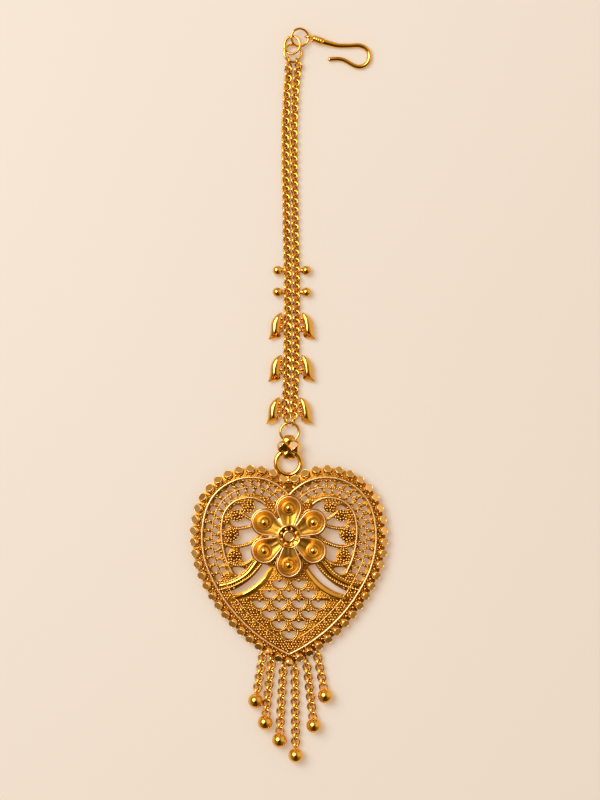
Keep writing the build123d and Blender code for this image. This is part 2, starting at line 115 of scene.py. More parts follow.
def gold(name, bright, deep, smooth, worn, rub=2.0e-6, recess=None, frost=0.0):
    """Gold finish: colour from deep to bright, roughness from smooth to worn. recess gives the
    two heights (mm) between which it darkens, a painted shade in the recesses; frost is the depth (mm)
    of a matted ground."""
    made = bpy.data.materials.new(name)
    made.use_nodes = True
    tree = made.node_tree
    place = new_node(tree, "TexCoord").outputs["Object"]
    marks = new_node(tree, "Group", {"node_tree": HAND_FINISH}, {
        "Place": place, "Patch": PATCH_SCALE, "Fine": MARK_SCALE}).outputs
    tone, height = marks["Tone"], marks["Marks"]
    # painted shade: low in the recesses the colour falls towards the deep one
    if recess:
        depth = new_node(tree, "Group", {"node_tree": PAINTED_RECESS_SHADE}, {
            "Place": place, "Low": recess[0] * MM, "High": recess[1] * MM})
        drift = new_node(tree, "Math", {"operation": "MULTIPLY"}, {0: tone, 1: DRIFT_SHARE})
        tone = new_node(tree, "Math", {"operation": "MULTIPLY_ADD"}, {
            0: depth.outputs["Open"], 1: OPEN_SHARE, 2: drift.outputs["Value"]}).outputs["Value"]
    if frost:
        height = new_node(tree, "Group", {"node_tree": FROSTING}, {
            "Place": place, "Scale": PUNCH_SCALE}).outputs["Height"]
    colour = new_node(tree, "Mix", {"data_type": "RGBA"}, {0: tone, 6: (*deep, 1.0), 7: (*bright, 1.0)})
    rough = new_node(tree, "MapRange", sockets={
        "Value": marks["Marks"], "From Min": FEW_MARKS, "From Max": MANY_MARKS,
        "To Min": smooth, "To Max": worn})
    bump = new_node(tree, "Bump", sockets={
        "Strength": 1.0, "Distance": frost * MM if frost else rub, "Height": height})
    shader = tree.nodes["Principled BSDF"].inputs
    shader["Metallic"].default_value = 1.0
    tree.links.new(colour.outputs[2], shader["Base Color"])
    tree.links.new(rough.outputs["Result"], shader["Roughness"])
    tree.links.new(bump.outputs["Normal"], shader["Normal"])
    return made


def skin(rings, loop=False):
    """Closed skin over rings of points (rings, points round, 3). Neighbours are joined; the end
    rings are shut by a fan to their middle, or joined to each other when loop. Faces point out."""
    count, round_ = rings.shape[:2]
    r, c = np.meshgrid(np.arange(count if loop else count - 1), np.arange(round_), indexing="ij")
    after, beside = (r + 1) % count, (c + 1) % round_
    a, b = r * round_ + c, after * round_ + c
    d, e = after * round_ + beside, r * round_ + beside
    tris = [np.stack([a, b, d], -1).reshape(-1, 3), np.stack([a, d, e], -1).reshape(-1, 3)]
    points = rings.reshape(-1, 3)
    if not loop:
        points = np.vstack([points, rings[0].mean(0), rings[-1].mean(0)])
        edge = np.arange(round_)
        top, low = np.full(round_, len(points) - 2), np.full(round_, len(points) - 1)
        last = edge + (count - 1) * round_
        tris.append(np.stack([edge, (edge + 1) % round_, top], -1))
        tris.append(np.stack([(edge + 1) % round_ + (count - 1) * round_, last, low], -1))
    tris = np.concatenate(tris)
    corners = points[tris] - points.mean(0)
    if np.einsum("ij,ij->i", corners[:, 0], np.cross(corners[:, 1], corners[:, 2])).sum() < 0:
        tris = tris[:, ::-1]
    return points, tris, np.zeros(len(tris), int)


def square_to(axis):
    """Two unit directions at right angles to an axis and to each other."""
    axis = np.asarray(axis, float) / np.linalg.norm(axis)
    other = np.array([0.0, 0.0, 1.0]) if abs(axis[2]) < 0.8 else np.array([1.0, 0.0, 0.0])
    side = np.cross(axis, other)
    side /= np.linalg.norm(side)
    return side, np.cross(axis, side)


def torus(centre, normal, radius, wire, around=40, sides=14):
    """Round ring: a circle of half the wire carried round a circle of the ring's radius."""
    normal = np.asarray(normal, float) / np.linalg.norm(normal)
    side, up = square_to(normal)
    a = np.linspace(0, 2 * np.pi, around, endpoint=False)[:, None, None]
    b = np.linspace(0, 2 * np.pi, sides, endpoint=False)[None, :, None]
    out = np.cos(a) * side + np.sin(a) * up
    rings = np.asarray(centre) + (radius + wire / 2 * np.cos(b)) * out + wire / 2 * np.sin(b) * normal
    return skin(rings, loop=True)


def join(shells):
    """Several shells as one, their triangles renumbered."""
    starts = np.cumsum([0] + [len(points) for points, _, _ in shells])
    points = np.concatenate([points for points, _, _ in shells])
    tris = np.concatenate([tris + start for (_, tris, _), start in zip(shells, starts)])
    return points, tris, np.concatenate([finish for _, _, finish in shells])


def piece(name, shells, materials, stands_for=(), crease=None):
    """Object of joined shells in its materials, fixed to the body; crease is the angle
    (degrees) over which an edge stays sharp."""
    points, tris, finish = join(shells)
    mesh = bpy.data.meshes.new(name)
    mesh.vertices.add(len(points))
    mesh.vertices.foreach_set("co", (points * MM).ravel())
    mesh.loops.add(tris.size)
    mesh.loops.foreach_set("vertex_index", tris.ravel())
    mesh.polygons.add(len(tris))
    mesh.polygons.foreach_set("loop_start", np.arange(0, tris.size, 3))
    mesh.polygons.foreach_set("loop_total", np.full(len(tris), 3))
    mesh.polygons.foreach_set("material_index", finish)
    mesh.update(calc_edges=True)
    mesh.shade_smooth()
    if crease:
        mesh.set_sharp_from_angle(angle=math.radians(crease))
    for material in materials:
        mesh.materials.append(material)
    made = bpy.data.objects.new(name, mesh)
    bpy.context.scene.collection.objects.link(made)
    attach(made, "root")
    if stands_for:
        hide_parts(*stands_for)
    return made


def rings_in(node):
    """Every round ring of a CAD node: centre, normal, radius, wire. Points that share triangles
    make a ring; the normal is the direction in which the ring is thinnest."""
    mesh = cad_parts[node].data
    points = np.empty(len(mesh.vertices) * 3)
    mesh.vertices.foreach_get("co", points)
    points = points.reshape(-1, 3) / MM
    corners = np.empty(len(mesh.loops), int)
    mesh.loops.foreach_get("vertex_index", corners)
    spots, same = np.unique(np.round(points, 4), axis=0, return_inverse=True)
    tris = same.ravel()[corners.reshape(-1, 3)]
    label, before = np.arange(len(spots)), None
    while before is None or (label != before).any():
        before = label.copy()
        lowest = label[tris].min(1)
        for corner in range(3):
            np.minimum.at(label, tris[:, corner], lowest)
    found = []
    for value in np.unique(label):
        own = spots[label == value]
        centre = own.mean(0)
        normal = np.linalg.svd(own - centre, full_matrices=False)[2][2]
        wire = np.ptp((own - centre) @ normal)
        found.append((centre, normal, np.linalg.norm(own - centre, axis=1).max() - wire / 2, wire))
    return sorted(found, key=lambda ring: -ring[0][1])


polished = gold("polished gold", (0.95, 0.59, 0.11), (0.72, 0.34, 0.025), smooth=0.045, worn=0.10)
for ring_node in ("jump_ring_hook", "jump_ring_upper", "jump_ring_lower"):
    clasp_ring = [torus(*ring, around=72, sides=20) for ring in rings_in(ring_node)]
    piece(ring_node + "_wire", clasp_ring, [polished], (ring_node,))


# ---------------------------------------------------------------- hair hook
# One length of heavier wire bent into an open hook, tapered, with a small eye at its end and
# a fine wire wound round the neck. Lies flat beside the clasp rings.
def even(line, count, loop=False):
    """The line again at even steps along its length, its points found between the given ones."""
    line = np.vstack([line, line[:1]]) if loop else line
    run = np.concatenate([[0.0], np.cumsum(np.linalg.norm(np.diff(line, axis=0), axis=1))])
    at = np.linspace(0, run[-1], count + 1)[:-1] if loop else np.linspace(0, run[-1], count)
    return np.stack([np.interp(at, run, line[:, k]) for k in range(line.shape[1])], 1)


def through(points, count, loop=False):
    """Smooth line through set points: on each span, the cubic whose slope at a point is half
    the step between its neighbours (Catmull-Rom)."""
    p = np.asarray(points, float)
    ends = (p[-1:], p[:2]) if loop else (2 * p[:1] - p[1:2], 2 * p[-1:] - p[-2:-1])
    p = np.vstack([ends[0], p, ends[1]])
    spans = len(p) - 3
    u = np.linspace(0, spans, spans * 24, endpoint=not loop)
    i = np.minimum(u.astype(int), spans - 1)
    t = (u - i)[:, None]
    a, b, c, d = p[i], p[i + 1], p[i + 2], p[i + 3]
    line = b + 0.5 * t * ((c - a) + t * (2 * a - 5 * b + 4 * c - d + t * (3 * b - a - 3 * c + d)))
    return even(line, count, loop)


def along(line, tall, wide, normal=(0, 0, 1), sides=12, loop=False):
    """Oval section carried along a line: at each point the section reaches `tall` along the
    normal and `wide` along the direction square to both the normal and the line."""
    ahead = np.roll(line, -1, 0) - np.roll(line, 1, 0) if loop else np.gradient(line, axis=0)
    ahead /= np.linalg.norm(ahead, axis=1, keepdims=True)
    side = np.cross(ahead, np.asarray(normal, float))
    side /= np.linalg.norm(side, axis=1, keepdims=True)
    up = np.cross(side, ahead)
    b = np.linspace(0, 2 * np.pi, sides, endpoint=False)[None, :, None]
    tall, wide = (np.broadcast_to(size, len(line))[:, None, None] for size in (tall, wide))
    return skin(line[:, None] + wide * np.cos(b) * side[:, None] + tall * np.sin(b) * up[:, None], loop)


def rounded_end(count, share):
    """Factor that brings a wire's radius down to nothing as a quarter circle over its end."""
    back = np.clip((np.linspace(1, 0, count)) / share, 0, 1)
    return np.sqrt(np.clip(1 - (1 - back) ** 2, 0.0004, 1))


NECK_A, NECK_B = np.array([4.72, 71.42, 0.93]), np.array([6.85, 70.68, 0.80])
HOOK_LINE = [(6.70, 70.73, 0.81), (8.4, 70.28, 0.60), (9.9, 69.98, 0.50), (12.0, 69.95, 0.48),
             (13.9, 70.02, 0.48), (15.1, 69.62, 0.48), (15.9, 68.8, 0.48), (16.12, 67.95, 0.48),
             (15.97, 67.0, 0.48), (15.35, 66.15, 0.48), (14.3, 65.72, 0.48), (13.3, 65.86, 0.48),
             (12.3, 66.35, 0.48), (11.2, 66.98, 0.48), (10.2, 67.27, 0.48), (9.2, 67.3, 0.48),
             (7.75, 67.2, 0.46)]
HOOK_WIRE = [(0, 0.62), (0.04, 0.60), (0.25, 0.50), (1, 0.44)]      # share of the length, radius
HOOK_ROWS, NECK_R = 150, 0.42
COIL_TURNS, COIL_WIRE, COIL_R = 4.5, 0.23, 0.55
HOOK_EYE, HOOK_EYE_TILT = (3.961, 71.697, 0.938), math.radians(13)
HOOK_EYE_R, HOOK_EYE_WIRE = 0.68, 0.50

arm = through(HOOK_LINE, HOOK_ROWS)
arm_radius = np.interp(np.linspace(0, 1, HOOK_ROWS), *np.transpose(HOOK_WIRE))
arm_radius = np.minimum(arm_radius * rounded_end(HOOK_ROWS, 0.015), arm[:, 2])
neck_way = (NECK_B - NECK_A) / np.linalg.norm(NECK_B - NECK_A)
neck_side, neck_up = square_to(neck_way)
turn = np.linspace(0, 2 * np.pi * COIL_TURNS, HOOK_ROWS)[:, None]
coil = (NECK_A + (NECK_B - NECK_A) * np.linspace(0.02, 0.92, HOOK_ROWS)[:, None]
        + COIL_R * (np.cos(turn) * neck_side + np.sin(turn) * neck_up))
neck = NECK_A + (NECK_B - NECK_A) * np.linspace(0, 1, 8)[:, None]
eye_normal = (0, math.cos(HOOK_EYE_TILT), math.sin(HOOK_EYE_TILT))
hook = [along(arm, arm_radius, arm_radius, sides=20), along(neck, NECK_R, NECK_R, sides=14),
        along(coil, COIL_WIRE, COIL_WIRE, normal=neck_way, sides=10),
        torus(HOOK_EYE, eye_normal, HOOK_EYE_R, HOOK_EYE_WIRE, sides=16)]
piece("hook_wire", hook, [polished], ("hair_hook",))


# ---------------------------------------------------------------- link strands
# Two strands of small soldered links side by side, rolled one way and the other in turn. Made by
# machine and tumbled; they hang so close that the strands look like one band.
LINK_LONG, LINK_WIDE, LINK_WIRE = 0.67, 0.72, 0.39   # half length, half width, thickness
NEARER = 0.10                   # the drawn strands lie this much nearer the middle


def link(centre, lean, way=(0, -1, 0), long=LINK_LONG, wide=LINK_WIDE, wire=LINK_WIRE,
         rolls=(26, -36), narrow=0.92, around=22, sides=9):
    """Closed link: an oval whose middle line reaches `long` along the chain and `wide` across it,
    carried by a circle of half the wire. The sign of its lean gives which roll it has; with the
    second roll it stands steeper and is drawn narrower."""
    roll, wide = (rolls[0], wide) if lean > 0 else (rolls[1], wide * narrow)
    way = np.asarray(way, float) / np.linalg.norm(way)
    side = np.cross(way, (0, 0, 1.0))
    side /= np.linalg.norm(side)
    up = np.cross(side, way)
    c, s = math.cos(math.radians(roll)), math.sin(math.radians(roll))
    across, normal = side * c - up * s, up * c + side * s
    turn = np.linspace(0, 2 * np.pi, around, endpoint=False)[:, None]
    line = np.asarray(centre) + long * np.cos(turn) * way + wide * np.sin(turn) * across
    return along(line, wire / 2, wire / 2, normal, sides, loop=True)


def chain_links(rings, shift, **size):
    """Links at the CAD's places, each along its chain; the larger end rings stay round."""
    middles = np.array([centre for centre, _, _, _ in rings])
    usual = np.median([radius for _, _, radius, _ in rings])
    drawn = []
    for ring, way in zip(rings, np.gradient(middles, axis=0)):
        centre, normal, radius, _ = ring
        if radius > usual + 0.05:
            drawn.append(torus(*ring, around=36, sides=12))
        else:
            lean = np.dot(normal * np.sign(normal[2]), np.cross(way, (0, 0, 1.0)))
            drawn.append(link(centre + shift, lean, way, **size))
    return drawn


# painted shade: the links go to the deep colour low down, between each other and near the paper
link_gold = gold("link gold", (0.92, 0.52, 0.055), (0.34, 0.11, 0.002), smooth=0.07, worn=0.14,
                 recess=(0.30, 1.10))
for strand_node, inward in (("chain_left", 1), ("chain_right", -1)):
    links = chain_links(rings_in(strand_node), (inward * NEARER, 0, 0))
    piece(strand_node + "_links", links, [link_gold], (strand_node,))


# ---------------------------------------------------------------- ball bars
# Cross bars soldered over both strands: a stud between them and, at either end, a hollow
# polished ball on a collar turned with three steps.
def turned(profile, centre, axis=(0, 0, 1), sides=24, loop=False):
    """Turned part: rows of (height, radius) spun about an axis through the centre."""
    axis = np.asarray(axis, float) / np.linalg.norm(axis)
    side, up = square_to(axis)
    a = np.linspace(0, 2 * np.pi, sides, endpoint=False)[None, :, None]
    height, radius = np.asarray(profile, float).T[:, :, None, None]
    return skin(np.asarray(centre) + height * axis + radius * (np.cos(a) * side + np.sin(a) * up),
                loop)


def ball(centre, radius, axis=(0, 0, 1), rows=15, sides=24):
    """Ball as a half circle of rows spun about its axis."""
    a = np.linspace(0, np.pi, rows + 2)[1:-1]
    return turned(np.stack([radius * np.cos(a), radius * np.sin(a)], 1), centre, axis, sides)


def stud(centre, half):
    """Solder stud: a rounded block, the unit ball pushed out towards a cube by its 4th root."""
    points, tris, finish = ball((0, 0, 0), 1.0, rows=7, sides=12)
    swell = (np.abs(points) ** 4).sum(1, keepdims=True) ** 0.25
    return np.asarray(centre) + points / np.maximum(swell, 1e-6) * np.asarray(half), tris, finish


def middle_of(node):
    """Middle of a CAD node's box in millimetres."""
    low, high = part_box(node)
    return (np.array(low) + np.array(high)) / 2 / MM


LIE, APART = 0.57, 0.85             # link centres over the surface, and sideways from the middle
OUTER = 1.66                        # outer studs sideways from the middle
OUTER_STUD, MIDDLE_STUD = (0.22, 0.13, 0.44), (0.47, 0.16, 0.46)      # half sizes


def strand_join(cx, y, side, lean):
    """A bar's link in one strand, and the stud beside it that carries what sits outside."""
    return [link((cx + side * APART, y, LIE), lean),
            stud((cx + side * OUTER, y, 0.58), OUTER_STUD)]


def middle_stud(cx, y):
    """Stud between the two strands."""
    return stud((cx, y, 0.56), MIDDLE_STUD)


BAR_BALL, BAR_BALL_OUT, BAR_BALL_Z = 0.97, 2.90, 0.98
COLLAR_Z, COLLAR_RISE = 0.86, 0.14      # height where it starts, and rise to one outwards
COLLAR = [(0.0, 0.30), (0.05, 0.47), (0.16, 0.50), (0.22, 0.42), (0.30, 0.52), (0.38, 0.58),
          (0.46, 0.50), (0.54, 0.62), (0.64, 0.68), (0.72, 0.60), (0.80, 0.30)]

for bar_node, lean in (("ball_bar_1", 1), ("ball_bar_2", -1)):
    cx, cy, _ = middle_of(bar_node)
    bar = [middle_stud(cx, cy)]
    for side in (-1, 1):
        bar += strand_join(cx, cy, side, side * lean)
        bar.append(turned(COLLAR, (cx + side * OUTER, cy, COLLAR_Z), (side, 0, COLLAR_RISE)))
        bar.append(ball((cx + side * BAR_BALL_OUT, cy, BAR_BALL_Z), BAR_BALL, rows=21, sides=36))
    piece(bar_node + "_cast", bar, [polished], (bar_node,))


# ---------------------------------------------------------------- leaf bars
# Cast half-tulip leaves, domed in front, with a mirror facet cut across the mouth. Studs at two
# levels hold them to the strands, and two grains hide the solder at each stud.
LEAF_SECTIONS = [  # height on the leaf, inner edge, outer edge, half thickness
    (2.62, 1.98, 2.30, 0.25), (2.40, 1.95, 2.78, 0.48), (2.05, 1.95, 3.25, 0.66),
    (1.55, 1.99, 3.68, 0.83), (0.8, 2.08, 4.08, 0.93), (0.0, 2.20, 4.24, 0.96),
    (-0.9, 2.28, 4.30, 0.96), (-1.6, 2.27, 4.38, 0.90), (-2.2, 2.26, 4.53, 0.78),
    (-2.6, 2.40, 4.70, 0.55), (-2.75, 3.0, 4.70, 0.30)]
LEAF_FACET, LEAF_FACET_WAY = (3.4, -2.02, 1.35), (-0.30, -0.72, 0.62)
LEAF_LEVELS = (1.49, -0.23)
LEAF_STUD, LEAF_STUD_HALF = (2.10, 0, 0.78), (0.40, 0.32, 0.42)
LEAF_GRAINS = [((2.00, -0.05, 1.12), 0.38, 9, 16), ((1.95, -0.80, 0.95), 0.30, 7, 12)]
# the two grains at each stud: place, radius, rows, sides
LEAF_TO_BOX = 0.065                  # from the middle of the node's box up to the leaf's own


def flatten(shell, spot, way):
    """Cuts a flat facet: every point beyond the plane is set back onto it, and the triangles
    that then lie in the plane get the second finish."""
    points, tris, finish = shell
    way = np.asarray(way, float) / np.linalg.norm(way)
    over = (points - np.asarray(spot)) @ way
    points = points - np.maximum(over, 0)[:, None] * way
    flat = (over[tris] > -1e-6).all(1)
    return points, tris, np.where(flat, 1, finish)


def leaf(side, cx, cy):
    """Leaf as oval sections stacked along it; their table is eased by the cubic in `through`."""
    y, inner, outer, half = through(LEAF_SECTIONS, 44).T[:, :, None]
    b = np.linspace(0, 2 * np.pi, 40, endpoint=False)[None, :]
    x = (inner + outer) / 2 + (outer - inner) / 2 * np.cos(b)
    z = 1.0 + half * np.sin(b)
    rings = np.stack([x, np.broadcast_to(y, x.shape), z], -1)
    points, tris, finish = flatten(skin(rings), LEAF_FACET, LEAF_FACET_WAY)
    if side < 0:
        tris = tris[:, ::-1]
    return points * (side, 1, 1) + (cx, cy, 0), tris, finish


facet_gold = gold("cut facet gold", (0.95, 0.62, 0.20), (0.88, 0.52, 0.12), smooth=0.03, worn=0.08,
                  rub=0.8e-6)
for bar_node in ("leaf_bar_1", "leaf_bar_2", "leaf_bar_3"):
    cx, cy, _ = middle_of(bar_node) + (0, LEAF_TO_BOX, 0)
    bar = []
    for side in (-1, 1):
        bar.append(leaf(side, cx, cy))
        for level in LEAF_LEVELS:
            y = cy + level
            bar += strand_join(cx, y, side, -side)
            bar.append(stud(np.multiply((side, 1, 1), LEAF_STUD) + (cx, y, 0), LEAF_STUD_HALF))
            bar += [ball(np.multiply((side, 1, 1), place) + (cx, y, 0), radius, rows=rows, sides=sides)
                    for place, radius, rows, sides in LEAF_GRAINS]
    bar += [middle_stud(cx, cy + level) for level in LEAF_LEVELS]
    piece(bar_node + "_cast", bar, [polished, facet_gold], (bar_node,), crease=28)


# ---------------------------------------------------------------- strands' ring and bail
# The strands end on a round wire ring. The bail is a strip of half-round wire closed into a loop
# through it and the heart's ring, with two diamond-cut balls soldered side by side on its front.
chain_ring = [torus(*ring, around=96, sides=20) for ring in rings_in("chain_ring")]
piece("chain_ring_wire", chain_ring, [polished], ("chain_ring",))

BAIL_TOP, BAIL_LOW, BAIL_Z, BAIL_HALF = -9.16, -11.74, 1.22, 0.95
BAIL_X = middle_of("bail_connector")[0]
STRAP_WIDE, STRAP_THICK, WIDER_ABOVE, WIDER_BELOW = 0.80, 0.27, 0.18, 0.35
BAIL_BALL, BAIL_BALL_Y, BAIL_BALL_Z = 1.22, -10.32, 2.27
BAIL_BALL_BACK = 0.33            # from the ball's middle to the flat that it is soldered on
BAIL_CUTS = {                    # for the left and the right ball: way a facet faces, depth of cut
    -1: [((0.14, -0.24, 0.96), 0.40), ((-0.42, 0.30, 0.86), 0.20), ((-0.30, -0.80, 0.52), 0.28)],
    1: [((-0.45, 0.235, 0.862), 0.38), ((0.10, -0.42, 0.90), 0.24), ((0.78, -0.30, 0.54), 0.28)]}


def loop_line(count):
    """Long loop in the YZ plane: two half circles about the top and low centres, and the
    straight runs between; also how far each point lies towards the top and the low bend."""
    a = np.linspace(0, 2 * np.pi, count, endpoint=False)
    y = np.where(np.cos(a) > 0, BAIL_TOP, BAIL_LOW) + BAIL_HALF * np.cos(a)
    line = np.stack([np.full(count, BAIL_X), y, BAIL_Z + BAIL_HALF * np.sin(a)], 1)
    line = even(line, count, loop=True)
    share = np.clip((line[:, 1] - BAIL_LOW) / (BAIL_TOP - BAIL_LOW), 0, 1)
    return line, share


strap, up_share = loop_line(96)
strap_wide = (STRAP_WIDE + WIDER_ABOVE * np.clip(up_share * 4 - 3, 0, 1)
              + WIDER_BELOW * np.clip(1 - up_share * 4, 0, 1))
bail = [along(strap, strap_wide, STRAP_THICK, normal=(1, 0, 0), sides=18, loop=True)]
for side, cuts in BAIL_CUTS.items():
    shell = ball((0, 0, 0), BAIL_BALL, rows=31, sides=48)
    for way, cut in cuts:
        way = np.array(way) / np.linalg.norm(way)
        shell = flatten(shell, way * (BAIL_BALL - cut), way)
    points, tris, finish = flatten(shell, (0, 0, -BAIL_BALL_BACK), (0, 0, -1))
    bail.append((points + (BAIL_X + side * BAIL_BALL, BAIL_BALL_Y, BAIL_BALL_Z), tris, finish))
piece("bail_strap_and_balls", bail, [polished, facet_gold], ("bail_connector",), crease=18)


# ---------------------------------------------------------------- heart: wall and pierced plate
# Sheet pierced with about a hundred openings over a low side wall; the ground between the wires
# is matted. Everything on it is soldered, so the whole heart is one rigid piece.
HEART = middle_of("flower_rivet") * (1, 1, 0)
LOBE, LOBE_R = np.array([7.50, 2.18]), 11.03       # circle of each lobe along the rim beads
SIDE_R, LOW_R = 19.53, 33.80                       # tangent arcs down the side and to the tip
LOBE_END, SIDE_END = math.radians(16.0), math.radians(-24.35)
PLATE_LOW, PLATE_TOP, PLATE_EDGE = 1.0, 1.6, 0.05


def pointing(angle):
    """Unit vectors in the plane: the cosine and the sine of each angle."""
    return np.stack([np.cos(angle), np.sin(angle)], -1)


def half_outline(inset, share=None, distance=None):
    """Points of the right half set in from the bead line, with their outward directions: three
    arcs, each tangent to the one above, at shares of the length or distances from the notch."""
    side = LOBE + (LOBE_R - SIDE_R) * pointing(LOBE_END)
    low = side + (SIDE_R - LOW_R) * pointing(SIDE_END)
    radii = np.array([LOBE_R, SIDE_R, LOW_R]) - inset
    start = math.acos(max(-1.0, -LOBE[0] / radii[0]))
    turns = np.array([start, LOBE_END, SIDE_END, -math.acos(-low[0] / radii[2])])
    reach = np.concatenate([[0.0], np.cumsum(-np.diff(turns) * radii)])
    run = np.asarray(share) * reach[-1] if distance is None else np.asarray(distance, float)
    arc = np.clip(np.searchsorted(reach, run, side="right") - 1, 0, 2)
    out = pointing(turns[arc] - (run - reach[arc]) / radii[arc])
    return np.array([LOBE, side, low])[arc] + radii[arc][..., None] * out, out


def half_length(inset):
    """Length of the right half of the outline at an inset, by adding small steps."""
    line, _ = half_outline(inset, share=np.linspace(0, 1, 400))
    return np.linalg.norm(np.diff(line, axis=0), axis=1).sum()


def whole_outline(inset, count=150):
    """Closed outline: down the right half and back up its mirror image."""
    right, _ = half_outline(inset, share=np.linspace(0, 1, count))
    return np.vstack([right, right[-2:0:-1] * (-1, 1)])


def rim_skin(profile, count=150):
    """Section of (inset, height) rows carried round the heart; each row follows its own inset
    outline, so the corners at the notch and the tip are mitred."""
    rows = [np.column_stack([whole_outline(inset, count), np.full(2 * count - 2, z)])
            for inset, z in profile]
    return skin(np.stack(rows, 1), loop=True)


def heart_piece(name, shells, materials, stands_for=(), crease=None):
    """Piece laid out from the middle of the flower."""
    points, tris, finish = join(shells)
    return piece(name, [(points + HEART, tris, finish)], materials, stands_for, crease)


NET_ROWS = [(2.75, 19, 1.50, 1.76, 0.60), (4.15, 16, 6.00, 1.66, 0.58)]
# each net row: inset from the bead line, holes, first place from the notch, step, half width
FAN_GAPS = [
    [(4.5, 5), (4.75, 5.75), (5.2, 6.3), (6.1, 6.8), (7, 6.95), (7.05, 6.2), (7.05, 5.45),
     (8.1, 4.8), (8.85, 4.6), (8.2, 4.05), (7.5, 3.6), (6.9, 3.4), (6.3, 4.2), (5.5, 4.75)],
    [(9.4, 5.45), (9.6, 6), (10.4, 6.15), (11.1, 5.8), (11.45, 5.25), (10.9, 5.15), (10.2, 5.2)],
    [(7.6, 2.45), (7.85, 3.1), (8.9, 3.65), (9.4, 3.4), (10.2, 3), (11.05, 3.15), (11.7, 3.35),
     (11.6, 2.6), (10.9, 1.95), (9.9, 1.8), (8.8, 2.05)],
    [(6.9, 1.55), (7.6, 1.6), (8.8, 1.3), (10, 1.15), (9.95, 0.4), (10.2, -0.25), (11, -0.95),
     (11.25, -1.35), (10.9, -1.75), (9.5, -1.6), (8.1, -1.1), (7.35, -0.7), (6.6, -0.1),
     (6.3, 0.3), (6.4, 0.85)],
    [(7.5, -1.75), (8.2, -2.05), (9.7, -2.4), (9.75, -3.1), (9.4, -3.7), (9.45, -4.5), (9.1, -5),
     (8.4, -5), (7.6, -4.5), (7.2, -3.6), (7, -2.6)],
    [(11.65, -2.4), (12.3, -2.2), (12.7, -2.6), (12.5, -3.4), (12.25, -3.85), (11.95, -3.1)],
    [(9.1, -6.35), (10.6, -6.2), (11.25, -6.4), (10.8, -7.35), (10.4, -7.7), (9.7, -7.35),
     (9.15, -6.9)],
    [(12.1, 1.75), (12.2, 2.35), (12.65, 2.25), (12.75, 1.6), (12.4, 1.2)]]
SCALE_ROWS = [(-9.4, (1.95,)), (-11.4, (0, 3.9)), (-13.4, (1.95, 5.85)), (-15.45, (0, 3.9)),
              (-17.5, (1.95,)), (-19.5, (0,))]
# each scale row: height, places of the openings on the right half and the middle
SCALE_UP = 0.30                  # from a scale's place up to the middle of its arcs
CRESCENT = [(11.5, -10.95), (8.0, -8.85), (5.1, -5.45), (3.85, -6.1), (6.65, -9.5), (11.3, -11.75)]
BORE = 1.08


def arc_through(a, b, c, count):
    """Points on the circle through three points, from the first to the last."""
    a, b, c = (np.asarray(p, float) for p in (a, b, c))
    rows = 2 * np.array([b - a, c - a])
    centre = np.linalg.solve(rows, [b @ b - a @ a, c @ c - a @ a])
    turns = np.unwrap([math.atan2(*(p - centre)[::-1]) for p in (a, b, c)])
    return centre + np.linalg.norm(a - centre) * pointing(np.linspace(turns[0], turns[2], count))


def circle(centre, radius, count=16):
    """Points round a circle: its centre plus its radius along even directions."""
    return np.asarray(centre) + radius * pointing(np.linspace(0, 2 * np.pi, count, endpoint=False))


def net_places():
    """Middle, outward direction and half width of each net mesh on the right half."""
    places = []
    for inset, count, first, step, half in NET_ROWS:
        spots, outs = half_outline(inset, distance=first + step * np.arange(count))
        places += [(spot, out, half) for spot, out in zip(spots, outs)]
    return places


def mesh_hole(spot, out, half, count=20):
    """Rounded square set along the rim: cosine and sine each raised to the power 0.62."""
    turn = np.linspace(0, 2 * np.pi, count, endpoint=False)
    c, s = np.cos(turn), np.sin(turn)
    c, s = np.sign(c) * np.abs(c) ** 0.62, np.sign(s) * np.abs(s) ** 0.62
    beside = np.array([-out[1], out[0]])
    return spot + half * (1.04 * c[:, None] * beside + 0.98 * s[:, None] * out)


def scale_places():
    """Middles of the fish-scale openings over the lower field."""
    return np.array([(side * x, y) for y, row in SCALE_ROWS for x in row
                     for side in ((1, -1) if x else (1,))])


def half_moon(x, y):
    """Fish-scale opening: the part of a circle under a chord, with a small bite in the chord."""
    reach, chord, bite, bite_up = 1.28, 0.20, 0.34, 0.25
    edge, drop = math.asin(chord / reach), math.asin((chord - bite_up) / bite)
    low = reach * pointing(np.linspace(edge, -np.pi - edge, 24))
    notch = bite * pointing(np.linspace(np.pi - drop, 2 * np.pi + drop, 8)) + (0, bite_up)
    return np.vstack([low, notch]) + (x, y + SCALE_UP)


def crescent():
    """Opening between two arcs, each given by its ends and a point on it."""
    a, upper, b, c, lower, d = CRESCENT
    return np.vstack([arc_through(a, upper, b, 24), arc_through(c, lower, d, 24)])


def half_gaps():
    """Outlines of the fan gaps and the crescent on the right half, their corners eased."""
    return [through(gap, 6 + 3 * len(gap), loop=True) for gap in FAN_GAPS] + [crescent()]


